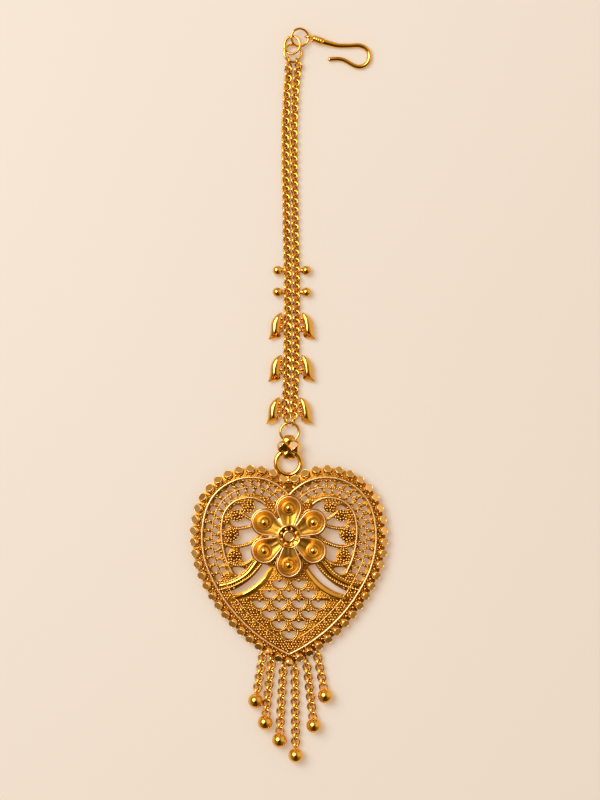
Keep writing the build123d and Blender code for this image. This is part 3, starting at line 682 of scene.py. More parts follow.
def pierced_sheet(outline, holes, low, high, edge):
    """Flat closed curves filled between outline and holes, given thickness and a small round
    edge, made a mesh, and its seams merged."""
    curve = bpy.data.curves.new("plate outline", "CURVE")
    curve.dimensions, curve.fill_mode = "2D", "BOTH"
    curve.extrude, curve.bevel_depth = ((high - low) / 2 - edge) * MM, edge * MM
    curve.offset, curve.bevel_resolution = -edge * MM, 1
    for line in [outline] + holes:
        spline = curve.splines.new("POLY")
        spline.points.add(len(line) - 1)
        row = np.column_stack([line * MM, np.zeros(len(line)), np.ones(len(line))])
        spline.points.foreach_set("co", row.ravel())
        spline.use_cyclic_u = True
    drawn = bpy.data.objects.new("plate outline", curve)
    bpy.context.scene.collection.objects.link(drawn)
    cut = drawn.evaluated_get(bpy.context.evaluated_depsgraph_get())
    sheet = bmesh.new()
    sheet.from_mesh(bpy.data.meshes.new_from_object(cut))
    bpy.data.objects.remove(drawn)
    bmesh.ops.remove_doubles(sheet, verts=sheet.verts, dist=1e-6)
    bmesh.ops.triangulate(sheet, faces=sheet.faces)
    bmesh.ops.recalc_face_normals(sheet, faces=sheet.faces)
    points = np.array([v.co for v in sheet.verts]) / MM + (0, 0, (low + high) / 2)
    sheet.verts.index_update()
    tris = np.array([[v.index for v in face.verts] for face in sheet.faces])
    sheet.free()
    return points, tris, np.zeros(len(tris), int)


half_holes = [mesh_hole(*place) for place in net_places()] + half_gaps()
holes = [hole * side for hole in half_holes for side in ((1, 1), (-1, 1))]
holes += [half_moon(x, y) for x, y in scale_places()] + [circle((0, 0), BORE, 32)]
# painted shade: the ground is a dark gold and, lying low, stays near the deep colour; only the matting
# is its real finish
ground_gold = gold("matted ground gold", (0.80, 0.40, 0.04), (0.36, 0.12, 0.003), smooth=0.28,
                   worn=0.42, recess=(1.4, 2.3), frost=0.02)
plate = pierced_sheet(whole_outline(-0.40), holes, PLATE_LOW, PLATE_TOP, PLATE_EDGE)
heart_piece("heart_plate", [plate], [ground_gold], ("heart_frame",), crease=40)
wall = rim_skin([(-0.24, 0), (-0.30, 0.06), (-0.30, 1.1), (0.60, 1.1), (0.60, 0.06), (0.54, 0)])
heart_piece("heart_wall", [wall], [polished], crease=40)


# ---------------------------------------------------------------- heart: rim beads
# Fifty-three balls round the rim, each diamond-cut with one flat that faces out and up, and
# small solder grains in the channel behind them.
RIM_BEAD_R, RIM_BEAD_Z, RIM_STEP, RIM_CUT, RIM_LEAN = 0.98, 1.60, 2.28, 0.44, math.radians(56)
RIM_FLAT = math.sqrt(RIM_BEAD_R ** 2 - (RIM_BEAD_R - RIM_CUT) ** 2) - 0.03
PER_HALF, BEZEL_WIRE = 27, 0.14  # beads from the tip up one half; wire round each flat
SLIP_ACROSS, SLIP_OUT = 0.09, 0.10   # spread of the flats' ways, each cut by hand
ON_PLATE = 1.62                  # height of the middle of wires soldered straight on the sheet
CHANNEL_GRAINS = [(0.64, 0, 1.66, 0.29), (1.00, -0.50, ON_PLATE, 0.21), (1.00, 0.50, ON_PLATE, 0.21)]
# grains between two beads: inset, mm sideways, height, radius
# painted shade: the lower half of each rim bead goes to the deep colour
bead_gold = gold("bead gold", (0.92, 0.57, 0.12), (0.32, 0.11, 0.006), smooth=0.06, worn=0.12,
                 recess=(1.55, 2.35))
# painted highlight: a paler copy of the gold, so that thin wires, lips and flat edges read as bright
# lines
pale_highlight_gold = gold("pale highlight gold", (1.0, 0.76, 0.36), (0.95, 0.64, 0.24), smooth=0.34, worn=0.44)


def grains(spots, radius):
    """Solder grains: at each spot an eight-sided bead of three rows, shut at both poles."""
    rows = np.radians([38.0, 82.0, 122.0])
    turn = np.linspace(0, 2 * np.pi, 8, endpoint=False)
    ring = np.stack([np.sin(rows)[:, None] * np.cos(turn), np.sin(rows)[:, None] * np.sin(turn),
                     np.broadcast_to(np.cos(rows)[:, None], (3, 8))], -1)
    one, tris, _ = skin(ring)
    one[-2], one[-1] = (0, 0, 1), (0, 0, -1)
    spots = np.asarray(spots, float)
    radius = np.broadcast_to(radius, len(spots))[:, None, None]
    points = (spots[:, None] + one * radius).reshape(-1, 3)
    tris = (tris + len(one) * np.arange(len(spots))[:, None, None]).reshape(-1, 3)
    return points, tris, np.zeros(len(tris), int)


def mirror(shell):
    """The same shell on the other side of the heart's middle line."""
    points, tris, finish = shell
    return points * (-1, 1, 1), tris[:, ::-1], finish


def both(shells):
    """The shells, and then their mirror images."""
    return shells + [mirror(shell) for shell in shells]


def raised(line, z):
    """Points of a flat line at a height."""
    return np.column_stack([line, np.full(len(line), z)])


def on_rim(inset, share, z):
    """Points of the right half at shares of its length, at an inset and a height."""
    return raised(half_outline(inset, share=share)[0], z)


bead_run = half_length(0) - RIM_STEP * np.arange(PER_HALF)
bead_spots, bead_out = half_outline(0, distance=bead_run)
bead_out[0] = (0, -1)            # the bead on the tip faces straight out
beads, bezels = [], []
hand = np.random.default_rng(3)
for (x, y), (out_x, out_y) in zip(bead_spots, bead_out):
    for side in (1, -1) if abs(x) > 0.01 else (1,):
        way = np.array([side * out_x, out_y, 0]) * math.cos(RIM_LEAN) + (0.03, 0, math.sin(RIM_LEAN))
        across, outward = hand.normal(0, SLIP_ACROSS), abs(hand.normal(0, SLIP_OUT))
        way += (side * out_x * outward - side * out_y * across, out_y * outward + out_x * across, 0)
        way /= np.linalg.norm(way)
        points, tris, finish = flatten(ball((0, 0, 0), RIM_BEAD_R, axis=way, rows=17, sides=24),
                                       way * (RIM_BEAD_R - RIM_CUT), way)
        spot = np.array([side * x, y, RIM_BEAD_Z])
        beads.append((points + spot, tris, finish))
        bezel_at = spot + way * (RIM_BEAD_R - RIM_CUT - 0.01)
        bezels.append(torus(bezel_at, way, RIM_FLAT, BEZEL_WIRE, around=26, sides=6))
heart_piece("rim_beads", beads, [bead_gold, facet_gold], crease=25)
# the wires round the flats are in the paler gold: painted highlight
heart_piece("rim_bead_edges", bezels, [pale_highlight_gold])

# painted shade: grains and fine wires go to the deep colour low down, between each other
grain_gold = gold("grain gold", (0.97, 0.63, 0.14), (0.36, 0.12, 0.004), smooth=0.07, worn=0.15,
                  recess=(1.50, 2.00))
between = bead_run[:-1] - RIM_STEP / 2
channel = [grains(on_rim(inset, (between + shift) / half_length(0), z), radius)
           for inset, shift, z, radius in CHANNEL_GRAINS]
heart_piece("channel_grains", both(channel), [grain_gold])


# ---------------------------------------------------------------- heart: smooth wires
# Bright round wires soldered on the plate: one all round inside the beads, the arch over each
# fan, the strip between the beaded wires, and the bevelled band under each crescent.
ARCH = [(4.6, 6.4), (6.2, 7.4), (8.1, 7.72), (10.9, 6.95), (12.8, 4.9), (13.5, 2.1),
        (13.4, -1.0), (12.7, -4.4), (11.3, -7.6)]
STRIP = [(6.3, -5.0), (8.4, -7.65), (11.3, -9.4), (13.8, -10.05)]
BAND = ((3.3, -6.3), (6.3, -10.15), (11.4, -12.45))
BAND_WIDE, BAND_RIDGE = 0.48, 2.24
BAND_RIDGE_AT = (-0.55, 0.35)    # place of the ridge across the left and the right band
RIM_WIRE_IN, RIM_WIRE_Z, RIM_WIRE_R = 1.46, 2.02, 0.20


def ridged_band(line, half, low, ridge, share):
    """Strip with two sloping flanks that meet in a ridge at a share of its half width from the
    middle, narrowed to nothing at both ends as the root of a sine."""
    ahead = np.gradient(line, axis=0)
    side = np.column_stack([ahead[:, 1], -ahead[:, 0]]) / np.linalg.norm(ahead, axis=1)[:, None]
    wide = half * np.sqrt(np.sin(np.linspace(0.06, np.pi - 0.06, len(line))))
    fall = 0.42 * half
    rows = [(-1.0, low), (-0.97, ridge - fall * (share + 1)), (share, ridge),
            (0.97, ridge - fall * (1 - share)), (1.0, low)]
    return skin(np.stack([raised(line + side * (wide * part)[:, None], z) for part, z in rows], 1))


turn = np.linspace(0, 2 * np.pi, 10, endpoint=False)
rim_wire = rim_skin(np.column_stack([RIM_WIRE_IN + RIM_WIRE_R * np.cos(turn),
                                     RIM_WIRE_Z + RIM_WIRE_R * np.sin(turn)]))
arch_wire = along(raised(through(ARCH, 90), 1.98), 0.22, 0.19, sides=10)
strip = along(raised(through(STRIP, 40), ON_PLATE), 0.20, 0.40, sides=10)
left_band, right_band = (
    ridged_band(arc_through(*BAND, 48), BAND_WIDE, PLATE_TOP - 0.1, BAND_RIDGE, share)
    for share in BAND_RIDGE_AT)
heart_piece("bands", [mirror(left_band), right_band] + both([strip]), [polished], crease=35)
# the round wires are in the paler gold: painted highlight
heart_piece("smooth_wires", [rim_wire] + both([arch_wire]), [pale_highlight_gold])


# ---------------------------------------------------------------- heart: net band
# Short bars of fine wire between the meshes of the net, with grains on their ends and middles,
# and a beaded wire between the two rows.
def beaded(line, pitch, radius):
    """Beaded wire: a thin core with a grain at every even step of the line."""
    length = np.linalg.norm(np.diff(line, axis=0), axis=1).sum()
    count = max(3, int(round(length / pitch)) + 1)
    core = along(even(line, count), radius * 0.55, radius * 0.6, sides=6)
    return join([grains(even(line, count), radius), core])


FINE_BEADS = (0.42, 0.20)        # pitch and radius of the finest beaded wire
THIN = {"tall": 0.16, "wide": 0.12, "sides": 6}      # section of a thin wire
NET_GRAINS = [(-1, -0.10, 0, 1.70, 0.20), (0, 0, 0, 1.72, 0.17), (1, 0.02, -0.19, 1.70, 0.18),
              (1, 0.02, 0.19, 1.70, 0.18)]
# grains on a bar: half widths of the mesh inwards and mm more, mm sideways, height, radius
NET_DIVIDE, NET_END = 3.45, 0.955
# inset of the wire between the rows; share of the length over which it and the outer bars run
net = []
for inset, count, first, step, half in NET_ROWS:
    length = half_length(inset)
    bars = 1 + (count if inset > NET_DIVIDE else int((NET_END * length - first) / step))
    between = (first + step * (np.arange(bars) - 0.5)) / length
    inner, _ = half_outline(inset + half + 0.10, share=between)
    outer, _ = half_outline(inset - half - 0.06, share=between)
    net += [along(raised(even(np.stack([a, b]), 3), ON_PLATE), **THIN) for a, b in zip(inner, outer)]
    net += [grains(on_rim(inset + halves * half + more, between + shift / length, z), radius)
            for halves, more, shift, z, radius in NET_GRAINS]
divide, _ = half_outline(NET_DIVIDE, share=np.linspace(0.03, NET_END, 240))
net.append(beaded(raised(divide, 1.76), *FINE_BEADS))
heart_piece("net_wires", both(net), [grain_gold])


# ---------------------------------------------------------------- heart: fan and beaded wires
# Rosettes of grains on each lobe, beaded arms that run from them to the petals, and the two
# beaded wires over each crescent.
ROSETTES = [(7.95, 5.75, 0.50), (10.45, 4.15, 0.56), (11.5, 0.15, 0.66), (10.95, -4.1, 0.64)]
# each rosette: place, radius
ROSETTE_RINGS = [(0.10, 13, 1.94, 0.26), (0.56, 20, 1.74, 0.24)]
# its rings of grains: how far beyond its radius, grains to a mm of it, height, grain radius
ARMS = [[(9.7, 4.75), (8.7, 4.0), (7.4, 3.2)],
        [(12.0, 1.95), (11.0, 1.52), (8.8, 1.68), (7.4, 2.1)],
        [(12.9, -1.5), (11.2, -2.1), (9.6, -2.0), (8.2, -1.58), (7.2, -1.1)],
        [(12.3, -5.2), (10.8, -5.75), (9.3, -5.75), (8.2, -5.3), (7.3, -4.7)]]
WIRE_HIGH = [(7.1, -5.1), (9.0, -7.35), (11.6, -8.9), (13.8, -9.4)]
WIRE_LOW = [(5.2, -5.1), (7.8, -8.0), (11.0, -9.9), (13.8, -10.7)]
ARM_Z, ARM_BEADS, ARM_EDGE = 1.90, (0.44, 0.23), 0.26
WIRE_Z, WIRE_BEADS = 1.84, (0.50, 0.25)

fan, shade_discs = [], []
for x, y, reach in ROSETTES:
    # painted shade: a flat near-black disc in the ground inside each rosette
    shade_disc = [(1.50, 0.01), (1.50, reach + 0.45), (1.63, reach + 0.42), (1.64, 0.01)]
    shade_discs.append(turned(shade_disc, (x, y, 0)))
    fan.append(grains([(x + 0.12, y + 0.10, 1.78)], 0.24))
    fan += [grains(raised(circle((x, y), reach + more, int(reach * share)), z), radius)
            for more, share, z, radius in ROSETTE_RINGS]
# colour of those discs: painted shade
shade_disc_gold = gold("pit gold", (0.30, 0.10, 0.006), (0.12, 0.04, 0.002), smooth=0.35, worn=0.5)
heart_piece("rosette_shade_discs", both(shade_discs), [shade_disc_gold])
for arm in ARMS:
    fan.append(beaded(raised(through(arm, 60), ARM_Z), *ARM_BEADS))
    fan += [along(raised(through(arm, 40) + (0, shift), ON_PLATE), **THIN)
            for shift in (-ARM_EDGE, ARM_EDGE)]
fan += [beaded(raised(through(wire, 90), WIRE_Z), *WIRE_BEADS) for wire in (WIRE_HIGH, WIRE_LOW)]
heart_piece("fan_wires", both(fan), [grain_gold])


# ---------------------------------------------------------------- heart: fish-scale field
# Under each half-moon opening hangs a swag of beaded wire with a thin smooth wire inside it; a
# larger grain sits in the bite at the top of the opening.
SWAG_R, SWAG_Z, INNER_R, INNER_Z = 1.72, 1.76, 1.40, 1.64
BITE_GRAIN, BITE_GRAIN_UP, BITE_GRAIN_Z = 0.30, 0.68, 1.74
scales = []
for place in scale_places():
    swag, inner = (place + (0, SCALE_UP) + reach * pointing(np.linspace(np.pi, 2 * np.pi, count))
                   for reach, count in ((SWAG_R, 40), (INNER_R, 24)))
    scales.append(beaded(raised(swag, SWAG_Z), *FINE_BEADS))
    scales.append(along(raised(inner, INNER_Z), 0.13, 0.11, sides=6))
scales.append(grains(raised(scale_places() + (0, BITE_GRAIN_UP), BITE_GRAIN_Z), BITE_GRAIN))
heart_piece("fish_scales", scales, [grain_gold])


# ---------------------------------------------------------------- heart: granulation
# Grains packed over all the ground that is left: in staggered rows wherever the sheet is free
# of openings and wires. Hand-laid, so sizes and places differ a little. Three larger ones fill
# the notch.
GRAIN_PITCH, GRAIN_R, GRAIN_Z = 0.56, 0.25, 1.64
GRAIN_ROWS, GRAIN_COLUMNS, ROW_SHARE, FIELD_Y = 46, 36, 0.87, -5.0
FIELD_IN, BOSS_CLEAR = 1.88, 4.5     # inset of the field's edge, and its radius round the boss
rng = np.random.default_rng(7)


def inside(spots, outline):
    """Even-odd rule: a point is inside if a ray to its right crosses the outline an odd number
    of times."""
    a, b = outline[None], np.roll(outline, -1, 0)[None]
    x, y = spots[:, :1], spots[:, 1:]
    crosses = (a[..., 1] > y) != (b[..., 1] > y)
    rise = np.where(b[..., 1] == a[..., 1], 1.0, b[..., 1] - a[..., 1])
    meets = a[..., 0] + (y - a[..., 1]) * (b[..., 0] - a[..., 0]) / rise
    return (crosses & (x < meets)).sum(1) % 2 == 1


def gap_to(spots, line):
    """Distance from each point to the nearest point of a line."""
    return np.linalg.norm(spots[:, None] - line[None], axis=2).min(1)


rows, columns = np.meshgrid(np.arange(-GRAIN_ROWS, GRAIN_ROWS + 1),
                            np.arange(-GRAIN_COLUMNS, GRAIN_COLUMNS + 1), indexing="ij")
spots = np.stack([(columns + 0.5 * (rows % 2)) * GRAIN_PITCH,
                  rows * GRAIN_PITCH * ROW_SHARE + FIELD_Y], -1)
spots = spots.reshape(-1, 2) + rng.normal(0, 0.035, (rows.size, 2))
free = inside(spots, whole_outline(FIELD_IN)) & (np.linalg.norm(spots, axis=1) > BOSS_CLEAR)
# each line on the right half, and how far the grains stay off it
keep_clear = [(through(ARCH, 120), 0.36), (through(STRIP, 60), 0.50), (through(WIRE_HIGH, 60), 0.42),
              (through(WIRE_LOW, 60), 0.42), (arc_through(*BAND, 80), 0.66), (divide, 0.32)]
keep_clear += [(through(arm, 40), 0.42) for arm in ARMS]
keep_clear += [(np.array([rosette[:2]]), rosette[2] + 0.84) for rosette in ROSETTES]
folded = np.abs(spots) * (1, 0) + spots * (0, 1)             # all laid onto the right half
for line, clear in keep_clear:
    free &= gap_to(folded, line) > clear
for spot, _, half in net_places():
    free &= np.linalg.norm(folded - spot, axis=1) > half + 0.30
for gap in half_gaps():
    free &= ~inside(folded, gap) & (gap_to(folded, gap) > 0.22)
for place in scale_places():
    away = spots - (place + (0, SCALE_UP))
    free &= (np.linalg.norm(away, axis=1) > SWAG_R + 0.34) | (away[:, 1] > 0.44)
    free &= np.linalg.norm(spots - (place + (0, BITE_GRAIN_UP)), axis=1) > 0.50
laid = raised(spots[free], GRAIN_Z)
packed = grains(laid, GRAIN_R + rng.normal(0, 0.018, len(laid)))
notch = grains([(0, 11.1, 1.75), (-0.95, 9.75, 1.72), (0.95, 9.75, 1.72)], [0.72, 0.42, 0.42])
heart_piece("granulation", [packed, notch], [grain_gold])


# ---------------------------------------------------------------- heart: top ring and eyelets
# Heavy round ring soldered on a lug above the notch, and six small eyelets on posts under the
# tip, one in line with each drop chain.
TOP_RING_AT, TOP_RING_R, TOP_RING_WIRE = (-0.12, 14.64, 1.22), 2.44, 1.10
DROP_STEP = 0.99                 # from one link's centre to the next
DROP_LINK = {"long": 0.84, "wide": 0.80, "wire": 0.40, "rolls": (16, -60), "narrow": 0.66,
             "around": 28, "sides": 10}
POST_FROM, POST_TO, POST_R = 0.60, 1.65, 0.25
top_ring = torus(TOP_RING_AT, (0, 0, 1), TOP_RING_R, TOP_RING_WIRE, around=96, sides=24)
lug = stud((0, 11.3, 1.15), (1.2, 0.85, 0.45))
eyelets, drops = [], []
for i in range(1, 7):
    chain = rings_in(f"drop_chain_{i}")
    way = (chain[-1][0] - chain[0][0]) * (1, 1, 0)
    way /= np.linalg.norm(way)
    start = chain[0][0] - way * DROP_STEP
    drops.append((start, way, chain))
    eyelets.append(link(start - HEART, -1, way, **DROP_LINK))
    post = start - HEART - way * np.linspace(POST_FROM, POST_TO, 4)[:, None]
    eyelets.append(along(post, POST_R, POST_R, sides=10))
heart_piece("top_ring_and_eyelets", [top_ring, lug] + eyelets, [polished])


# ---------------------------------------------------------------- flower
# Six cast petals round a centre cup on a stepped boss. Each petal is a dished cup drawn out
# towards the middle, with a lip in paler gold as painted highlight and a polished ball on a
# stepped seat. A tube riveted through the middle holds it to the plate.
PETAL_OUT, PETAL_R, PETAL_LONG = 5.60, 2.48, 3.50
PETAL_TAPER = math.radians(114)         # where the straight sides leave the round end
PETAL_BALL, PETAL_BALL_OUT, PETAL_BALL_Z = 0.99, 5.66, 3.29
CUP_BALL, CUP_BALL_OUT, CUP_BALL_Z = 0.36, 1.56, 3.14
BOSS_BEAD, BOSS_BEAD_OUT, BOSS_BEAD_Z = 0.19, 4.3, 1.98
PETAL_ROWS = [  # share of the way from the spine to the edge, inset, height
    (0.03, 0, 2.50), (0.25, 0, 2.54), (0.40, 0, 2.60), (0.52, 0, 2.67), (0.63, 0, 2.76),
    (0.73, 0, 2.87), (0.81, 0, 3.01), (0.87, 0, 3.15), (1, 0.26, 3.34), (1, 0.20, 3.46),
    (1, 0.12, 3.48), (1, 0.02, 3.44), (1, 0, 3.1), (1, 0.02, 2.6), (1, 0.06, 2.30), (1, 0.12, 2.25),
    (0.3, 0, 2.25)]
# painted shade: the petals go to the deep colour low in their bowls
satin = gold("satin gold", (0.90, 0.54, 0.07), (0.36, 0.14, 0.005), smooth=0.30, worn=0.40,
             recess=(2.35, 3.5))
# painted shade: the cup goes to the deep colour low down inside it
cup_gold = gold("cup gold", (0.95, 0.62, 0.15), (0.50, 0.21, 0.012), smooth=0.08, worn=0.16,
                recess=(2.9, 3.7))
SEAT = [(2.50, 1.50), (2.84, 1.52), (2.95, 1.47), (2.99, 1.38), (2.98, 1.30), (3.10, 1.26),
        (3.15, 1.17), (3.12, 1.06), (2.90, 0.94)]
CUP = [(2.05, 2.36), (3.40, 2.36), (3.60, 2.38), (3.71, 2.33), (3.75, 2.22), (3.72, 2.11),
       (3.60, 2.03), (3.02, 1.98), (2.98, 1.92), (2.98, 1.09), (2.05, 1.09)]
BOSS = [(1.05, 1.09), (1.05, 4.60), (1.85, 4.60), (1.95, 4.50), (1.95, 1.09)]
BASE = [(2.05, 1.09), (2.05, 3.36), (2.10, 3.40), (2.60, 3.40), (2.65, 3.35), (2.65, 1.09)]


def petal_edge(turn):
    """Reach of the teardrop's edge from the middle of its round end: the radius, then where the
    sides taper the radius over the cosine of the angle from the taper's start, cut off at the
    narrow end."""
    away = np.abs((turn + np.pi) % (2 * np.pi) - np.pi)
    side = PETAL_R / np.cos(np.clip(away - PETAL_TAPER, 0, 1.2))
    end = PETAL_LONG / np.clip(-np.cos(away), 0.05, 1)
    return np.where(away > PETAL_TAPER, np.minimum(side, end), PETAL_R)


def petal_edge_line(turn, outside=0.0):
    """Points of the edge at some angles, measured from the middle of the round end, and the
    spine points they are reached from: level with the edge point plus its distance from the
    centre line times the cotangent of the taper."""
    reach = petal_edge(turn) + outside
    edge = np.column_stack([reach * np.sin(turn), reach * np.cos(turn)])
    level = edge[:, 1] + np.abs(edge[:, 0]) / -math.tan(PETAL_TAPER)
    spine = np.column_stack([np.zeros(len(turn)), np.clip(level, 0.55 - PETAL_LONG, 0)])
    return edge, spine


def petal():
    """Petal on the +Y side: its rows are rings round the spine, and the floor of the dish rises
    towards the narrow end."""
    edge, spine = petal_edge_line(np.linspace(0, 2 * np.pi, 96, endpoint=False))
    out = edge - spine
    length = np.linalg.norm(out, axis=1)[:, None]
    rings = []
    for i, (share, inset, z) in enumerate(PETAL_ROWS):
        spots = spine + out * (share - inset / length) + (0, PETAL_OUT)
        rise = 0.45 * (1 - share) * -spine[:, 1] / PETAL_LONG if i < 8 else np.zeros(len(spots))
        rings.append(np.column_stack([spots, z + rise]))
    return skin(np.stack(rings))


def six(shell):
    """The shell six times, turned about the flower's middle by a sixth of a turn each time."""
    points, tris, finish = shell
    turns = [(math.cos(angle), math.sin(angle)) for angle in np.radians(60 * np.arange(6))]
    return [(points @ np.array([[c, s, 0], [-s, c, 0], [0, 0, 1]]), tris, finish) for c, s in turns]


def petal_wire(reach, outside, z, tall, wide, count, sides):
    """Wire laid along the petal's edge, as far round as an angle to either side of its tip."""
    line = petal_edge_line(np.linspace(-reach, reach, count), outside)[0] + (0, PETAL_OUT)
    return along(raised(line, z), tall, wide, sides=sides)


one_petal = join([petal(), turned(SEAT, (0, PETAL_BALL_OUT - 0.05, 0), sides=36)])
petal_ball = ball((0, PETAL_BALL_OUT, PETAL_BALL_Z), PETAL_BALL, rows=19, sides=36)
petal_lip = petal_wire(2.86, -0.15, 3.47, 0.13, 0.14, count=110, sides=12)
edging = petal_wire(2.3, 0.16, 2.12, 0.16, 0.14, count=80, sides=8)
cup = [turned(CUP, (0, 0, 0), sides=48, loop=True), turned(BASE, (0, 0, 0), sides=48, loop=True)]
cup_balls = [ball((*(CUP_BALL_OUT * pointing(math.radians(45 * k + 22.5))), CUP_BALL_Z), CUP_BALL,
                  rows=9, sides=16) for k in range(8)]
boss_beads = grains(raised(circle((0, 0), BOSS_BEAD_OUT, 64), BOSS_BEAD_Z), BOSS_BEAD)
boss = [turned(BOSS, (0, 0, 0), sides=64, loop=True), boss_beads]
heart_piece("flower_petals", six(one_petal), [satin], ("flower",), crease=50)
heart_piece("flower_cup", cup, [cup_gold], ("flower",), crease=50)
heart_piece("flower_balls", six(petal_ball), [polished], ("flower",))
heart_piece("flower_cup_balls", cup_balls, [facet_gold], ("flower",))
# the petal lips are in the paler gold: painted highlight
heart_piece("flower_lips", six(petal_lip), [pale_highlight_gold], ("flower",))
heart_piece("flower_boss_and_edging", boss + six(edging), [grain_gold], crease=60)

RIVET = [(0.50, 0.80), (0.50, 1.45), (0.55, 1.50), (0.85, 1.50), (0.90, 1.45), (0.90, 0.98),
         (3.10, 0.98), (3.10, 1.12), (3.14, 1.15), (3.26, 1.15), (3.30, 1.10), (3.30, 0.88),
         (3.25, 0.80)]
heart_piece("rivet_tube", [turned(RIVET, (0, 0, 0), sides=32, loop=True)], [polished],
            ("flower_rivet",), crease=50)


# ---------------------------------------------------------------- drops
# Six chains of soldered links laid flat and on edge in turn, longest in the middle, each ending
# in a polished hollow ball with its own eye.
DROP_BALL, DROP_BALL_Z = 1.49, 1.50
EYE_OUT, ROOT_OUT = 1.72, 1.18   # from the ball's middle to its eye and to the eye's root
ROOT_UP, ROOT_R = 0.14, 0.42
for i, (start, way, chain) in enumerate(drops, 1):
    links = chain_links(chain, 0, **DROP_LINK)
    piece(f"drop_chain_{i}_links", links, [link_gold], (f"drop_chain_{i}",))
    steps = len(chain) + 1
    reach = steps * DROP_STEP + EYE_OUT
    middle = (start + way * reach) * (1, 1, 0) + (0, 0, DROP_BALL_Z)
    eye = start + way * (reach - EYE_OUT)
    root = start + way * (reach - ROOT_OUT) + (0, 0, ROOT_UP)
    hung = [ball(middle, DROP_BALL, rows=31, sides=56), ball(root, ROOT_R, rows=9, sides=16),
            link(eye, 1 if steps % 2 else -1, way, **DROP_LINK)]
    piece(f"drop_ball_{i}_polished", hung, [polished], (f"drop_ball_{i}",))


# ---------------------------------------------------------------- surface, light and camera
# Pale plain paper on a table, in an even room with one soft window at the upper left, and a
# camera straight above. Part of what the camera and the metal see of the paper is a warm glow,
# painted bounce light from the gold that keeps its shadows light and warm.
PAPER_TINTS = (0.705, 0.805, 0.835), (0.745, 0.847, 0.875)
PAPER_WARM_GLOW, PAPER_SHARE = (0.85, 0.44, 0.18), 0.45


def floor_finish():
    """Matt paper with a faint drift of tone; part of what is seen of it is a plain warm glow,
    painted bounce light, so that the shadows on it stay light and warm."""
    made = bpy.data.materials.new("pale paper")
    made.use_nodes = True
    tree = made.node_tree
    shader = tree.nodes["Principled BSDF"]
    shader.inputs["Roughness"].default_value = 0.80
    shader.inputs["Specular IOR Level"].default_value = 0.10
    place = new_node(tree, "TexCoord").outputs["Object"]
    drift = new_node(tree, "TexNoise", sockets={"Vector": place, "Scale": 9.0, "Detail": 1.0})
    tint = new_node(tree, "Mix", {"data_type": "RGBA"}, {
        0: drift.outputs["Fac"], 6: (*PAPER_TINTS[0], 1.0), 7: (*PAPER_TINTS[1], 1.0)})
    tree.links.new(tint.outputs[2], shader.inputs["Base Color"])

    # painted bounce light: a warm glow shown to the camera and the metal; the bluish paper tints make up
    # for it where the paper is lit
    paper = new_node(tree, "Emission", sockets={"Color": (*PAPER_WARM_GLOW, 1.0)})
    rays = new_node(tree, "LightPath").outputs
    seen = new_node(tree, "Math", {"operation": "MAXIMUM"}, {
        0: rays["Is Camera Ray"], 1: rays["Is Glossy Ray"]})
    share = new_node(tree, "Math", {"operation": "MULTIPLY"}, {0: seen.outputs["Value"], 1: PAPER_SHARE})
    blend = new_node(tree, "MixShader", sockets={
        "Fac": share.outputs["Value"], 1: shader.outputs["BSDF"], 2: paper.outputs["Emission"]})
    tree.links.new(blend.outputs["Shader"], tree.nodes["Material Output"].inputs["Surface"])
    return made


FLOOR_HALF = 1.5                 # metres
floor_mesh = bpy.data.meshes.new("floor")
floor_corners = [(x * FLOOR_HALF, y * FLOOR_HALF, 0) for x, y in ((-1, -1), (1, -1), (1, 1), (-1, 1))]
floor_mesh.from_pydata(floor_corners, [], [(0, 1, 2, 3)])
floor_mesh.materials.append(floor_finish())
floor = bpy.data.objects.new("floor", floor_mesh)
bpy.context.scene.collection.objects.link(floor)


EVEN_LIGHT, MIRRORED_BASE = (0.60, 0.58, 0.56), (0.36, 0.24, 0.11)
MIRRORED_PATCHES = [  # direction, angles at which a patch is full and is gone (degrees), colour
    ((0.00, -0.90, 0.44), 15, 60, (0.22, 0.14, 0.06)),
    ((0.00, 0.92, 0.38), 10, 50, (0.58, 0.43, 0.27)),
    ((0.85, 0.36, 0.46), 14, 46, (0.92, 0.73, 0.66)),
    ((-0.92, 0.05, 0.36), 10, 30, (0.48, 0.38, 0.36)),
    ((-0.84, 0.02, 0.58), 5, 14, (0.09, 0.045, 0.010)),
    ((0.00, -0.86, 0.50), 20, 38, (0.09, 0.05, 0.012)),
    ((0.03, -0.34, 0.94), 14, 30, (0.05, 0.024, 0.004)),
    ((-0.47, 0.34, 0.80), 21, 29, (1.65, 1.60, 3.00))]


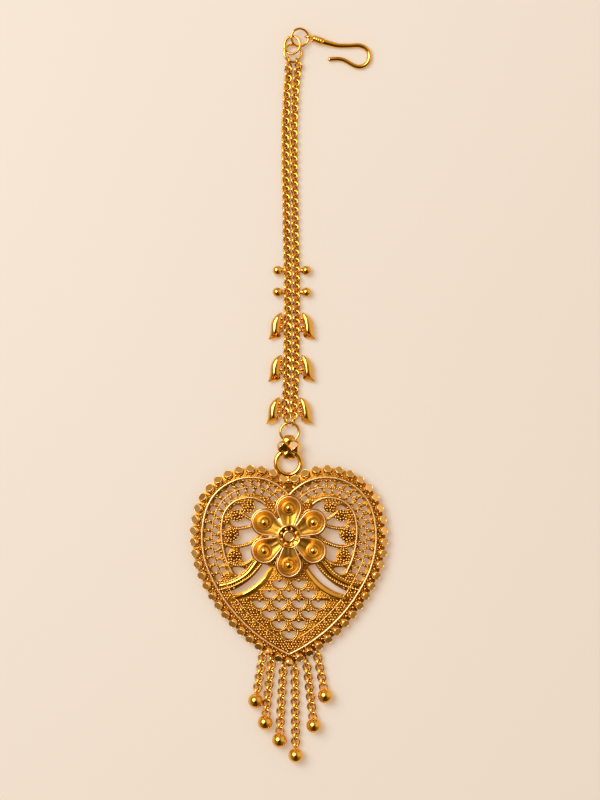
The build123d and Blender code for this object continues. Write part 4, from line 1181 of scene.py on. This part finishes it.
def room():
    """Room: even and pale for the matt paper. The metal mirrors a warm mid tone on which patches
    lie, each over those before it: paler at the far end and low at both sides, darker on the
    near side, overhead and higher on the left, and bright about the window."""
    world = bpy.data.worlds.new("room")
    world.use_nodes = True
    tree = world.node_tree
    way = new_node(tree, "TexCoord").outputs["Generated"]
    light = (*MIRRORED_BASE, 1.0)
    for direction, full, gone, colour in MIRRORED_PATCHES:
        length = math.sqrt(sum(part * part for part in direction))
        facing = new_node(tree, "VectorMath", {"operation": "DOT_PRODUCT"}, {
            0: way, 1: [part / length for part in direction]})
        fall = new_node(tree, "MapRange", {"interpolation_type": "SMOOTHSTEP"}, {
            "Value": facing.outputs["Value"], "From Min": math.cos(math.radians(gone)),
            "From Max": math.cos(math.radians(full))})
        light = new_node(tree, "Mix", {"data_type": "RGBA"}, {
            0: fall.outputs["Result"], 6: light, 7: (*colour, 1.0)}).outputs[2]
    glossy = new_node(tree, "LightPath").outputs["Is Glossy Ray"]
    mirrored = new_node(tree, "Mix", {"data_type": "RGBA"}, {0: glossy, 6: (*EVEN_LIGHT, 1.0), 7: light})
    tree.links.new(mirrored.outputs[2], tree.nodes["Background"].inputs["Color"])
    return world


bpy.context.scene.world = room()

AIM, VIEW_TALL = (2.2, -1.0, 1.2), 160.0   # what the camera looks at, and the length it shows there
LENS, SENSOR = 110.0, 36.0
camera_data = bpy.data.cameras.new("camera")
camera_data.lens, camera_data.sensor_width = LENS, SENSOR
camera_data.clip_start = 0.01
camera = bpy.data.objects.new("camera", camera_data)
camera.location = (AIM[0] * MM, AIM[1] * MM, (AIM[2] + LENS / SENSOR * VIEW_TALL) * MM)
bpy.context.scene.collection.objects.link(camera)
bpy.context.scene.camera = camera

WINDOW_WAY, WINDOW_FAR, WINDOW_SIZE, WINDOW_WATTS = (-0.47, 0.34, 0.80), 0.70, 0.46, 4.4
window_data = bpy.data.lights.new("window", "AREA")
window_data.shape = "SQUARE"
window_data.size = WINDOW_SIZE
window_data.energy = WINDOW_WATTS
window_data.color = (1.0, 0.95, 0.87)
window = bpy.data.objects.new("window", window_data)
window.location = [part * WINDOW_FAR for part in WINDOW_WAY]
window.rotation_euler = window.location.to_track_quat("Z", "Y").to_euler()
bpy.context.scene.collection.objects.link(window)

bpy.context.scene.view_settings.view_transform = "Standard"
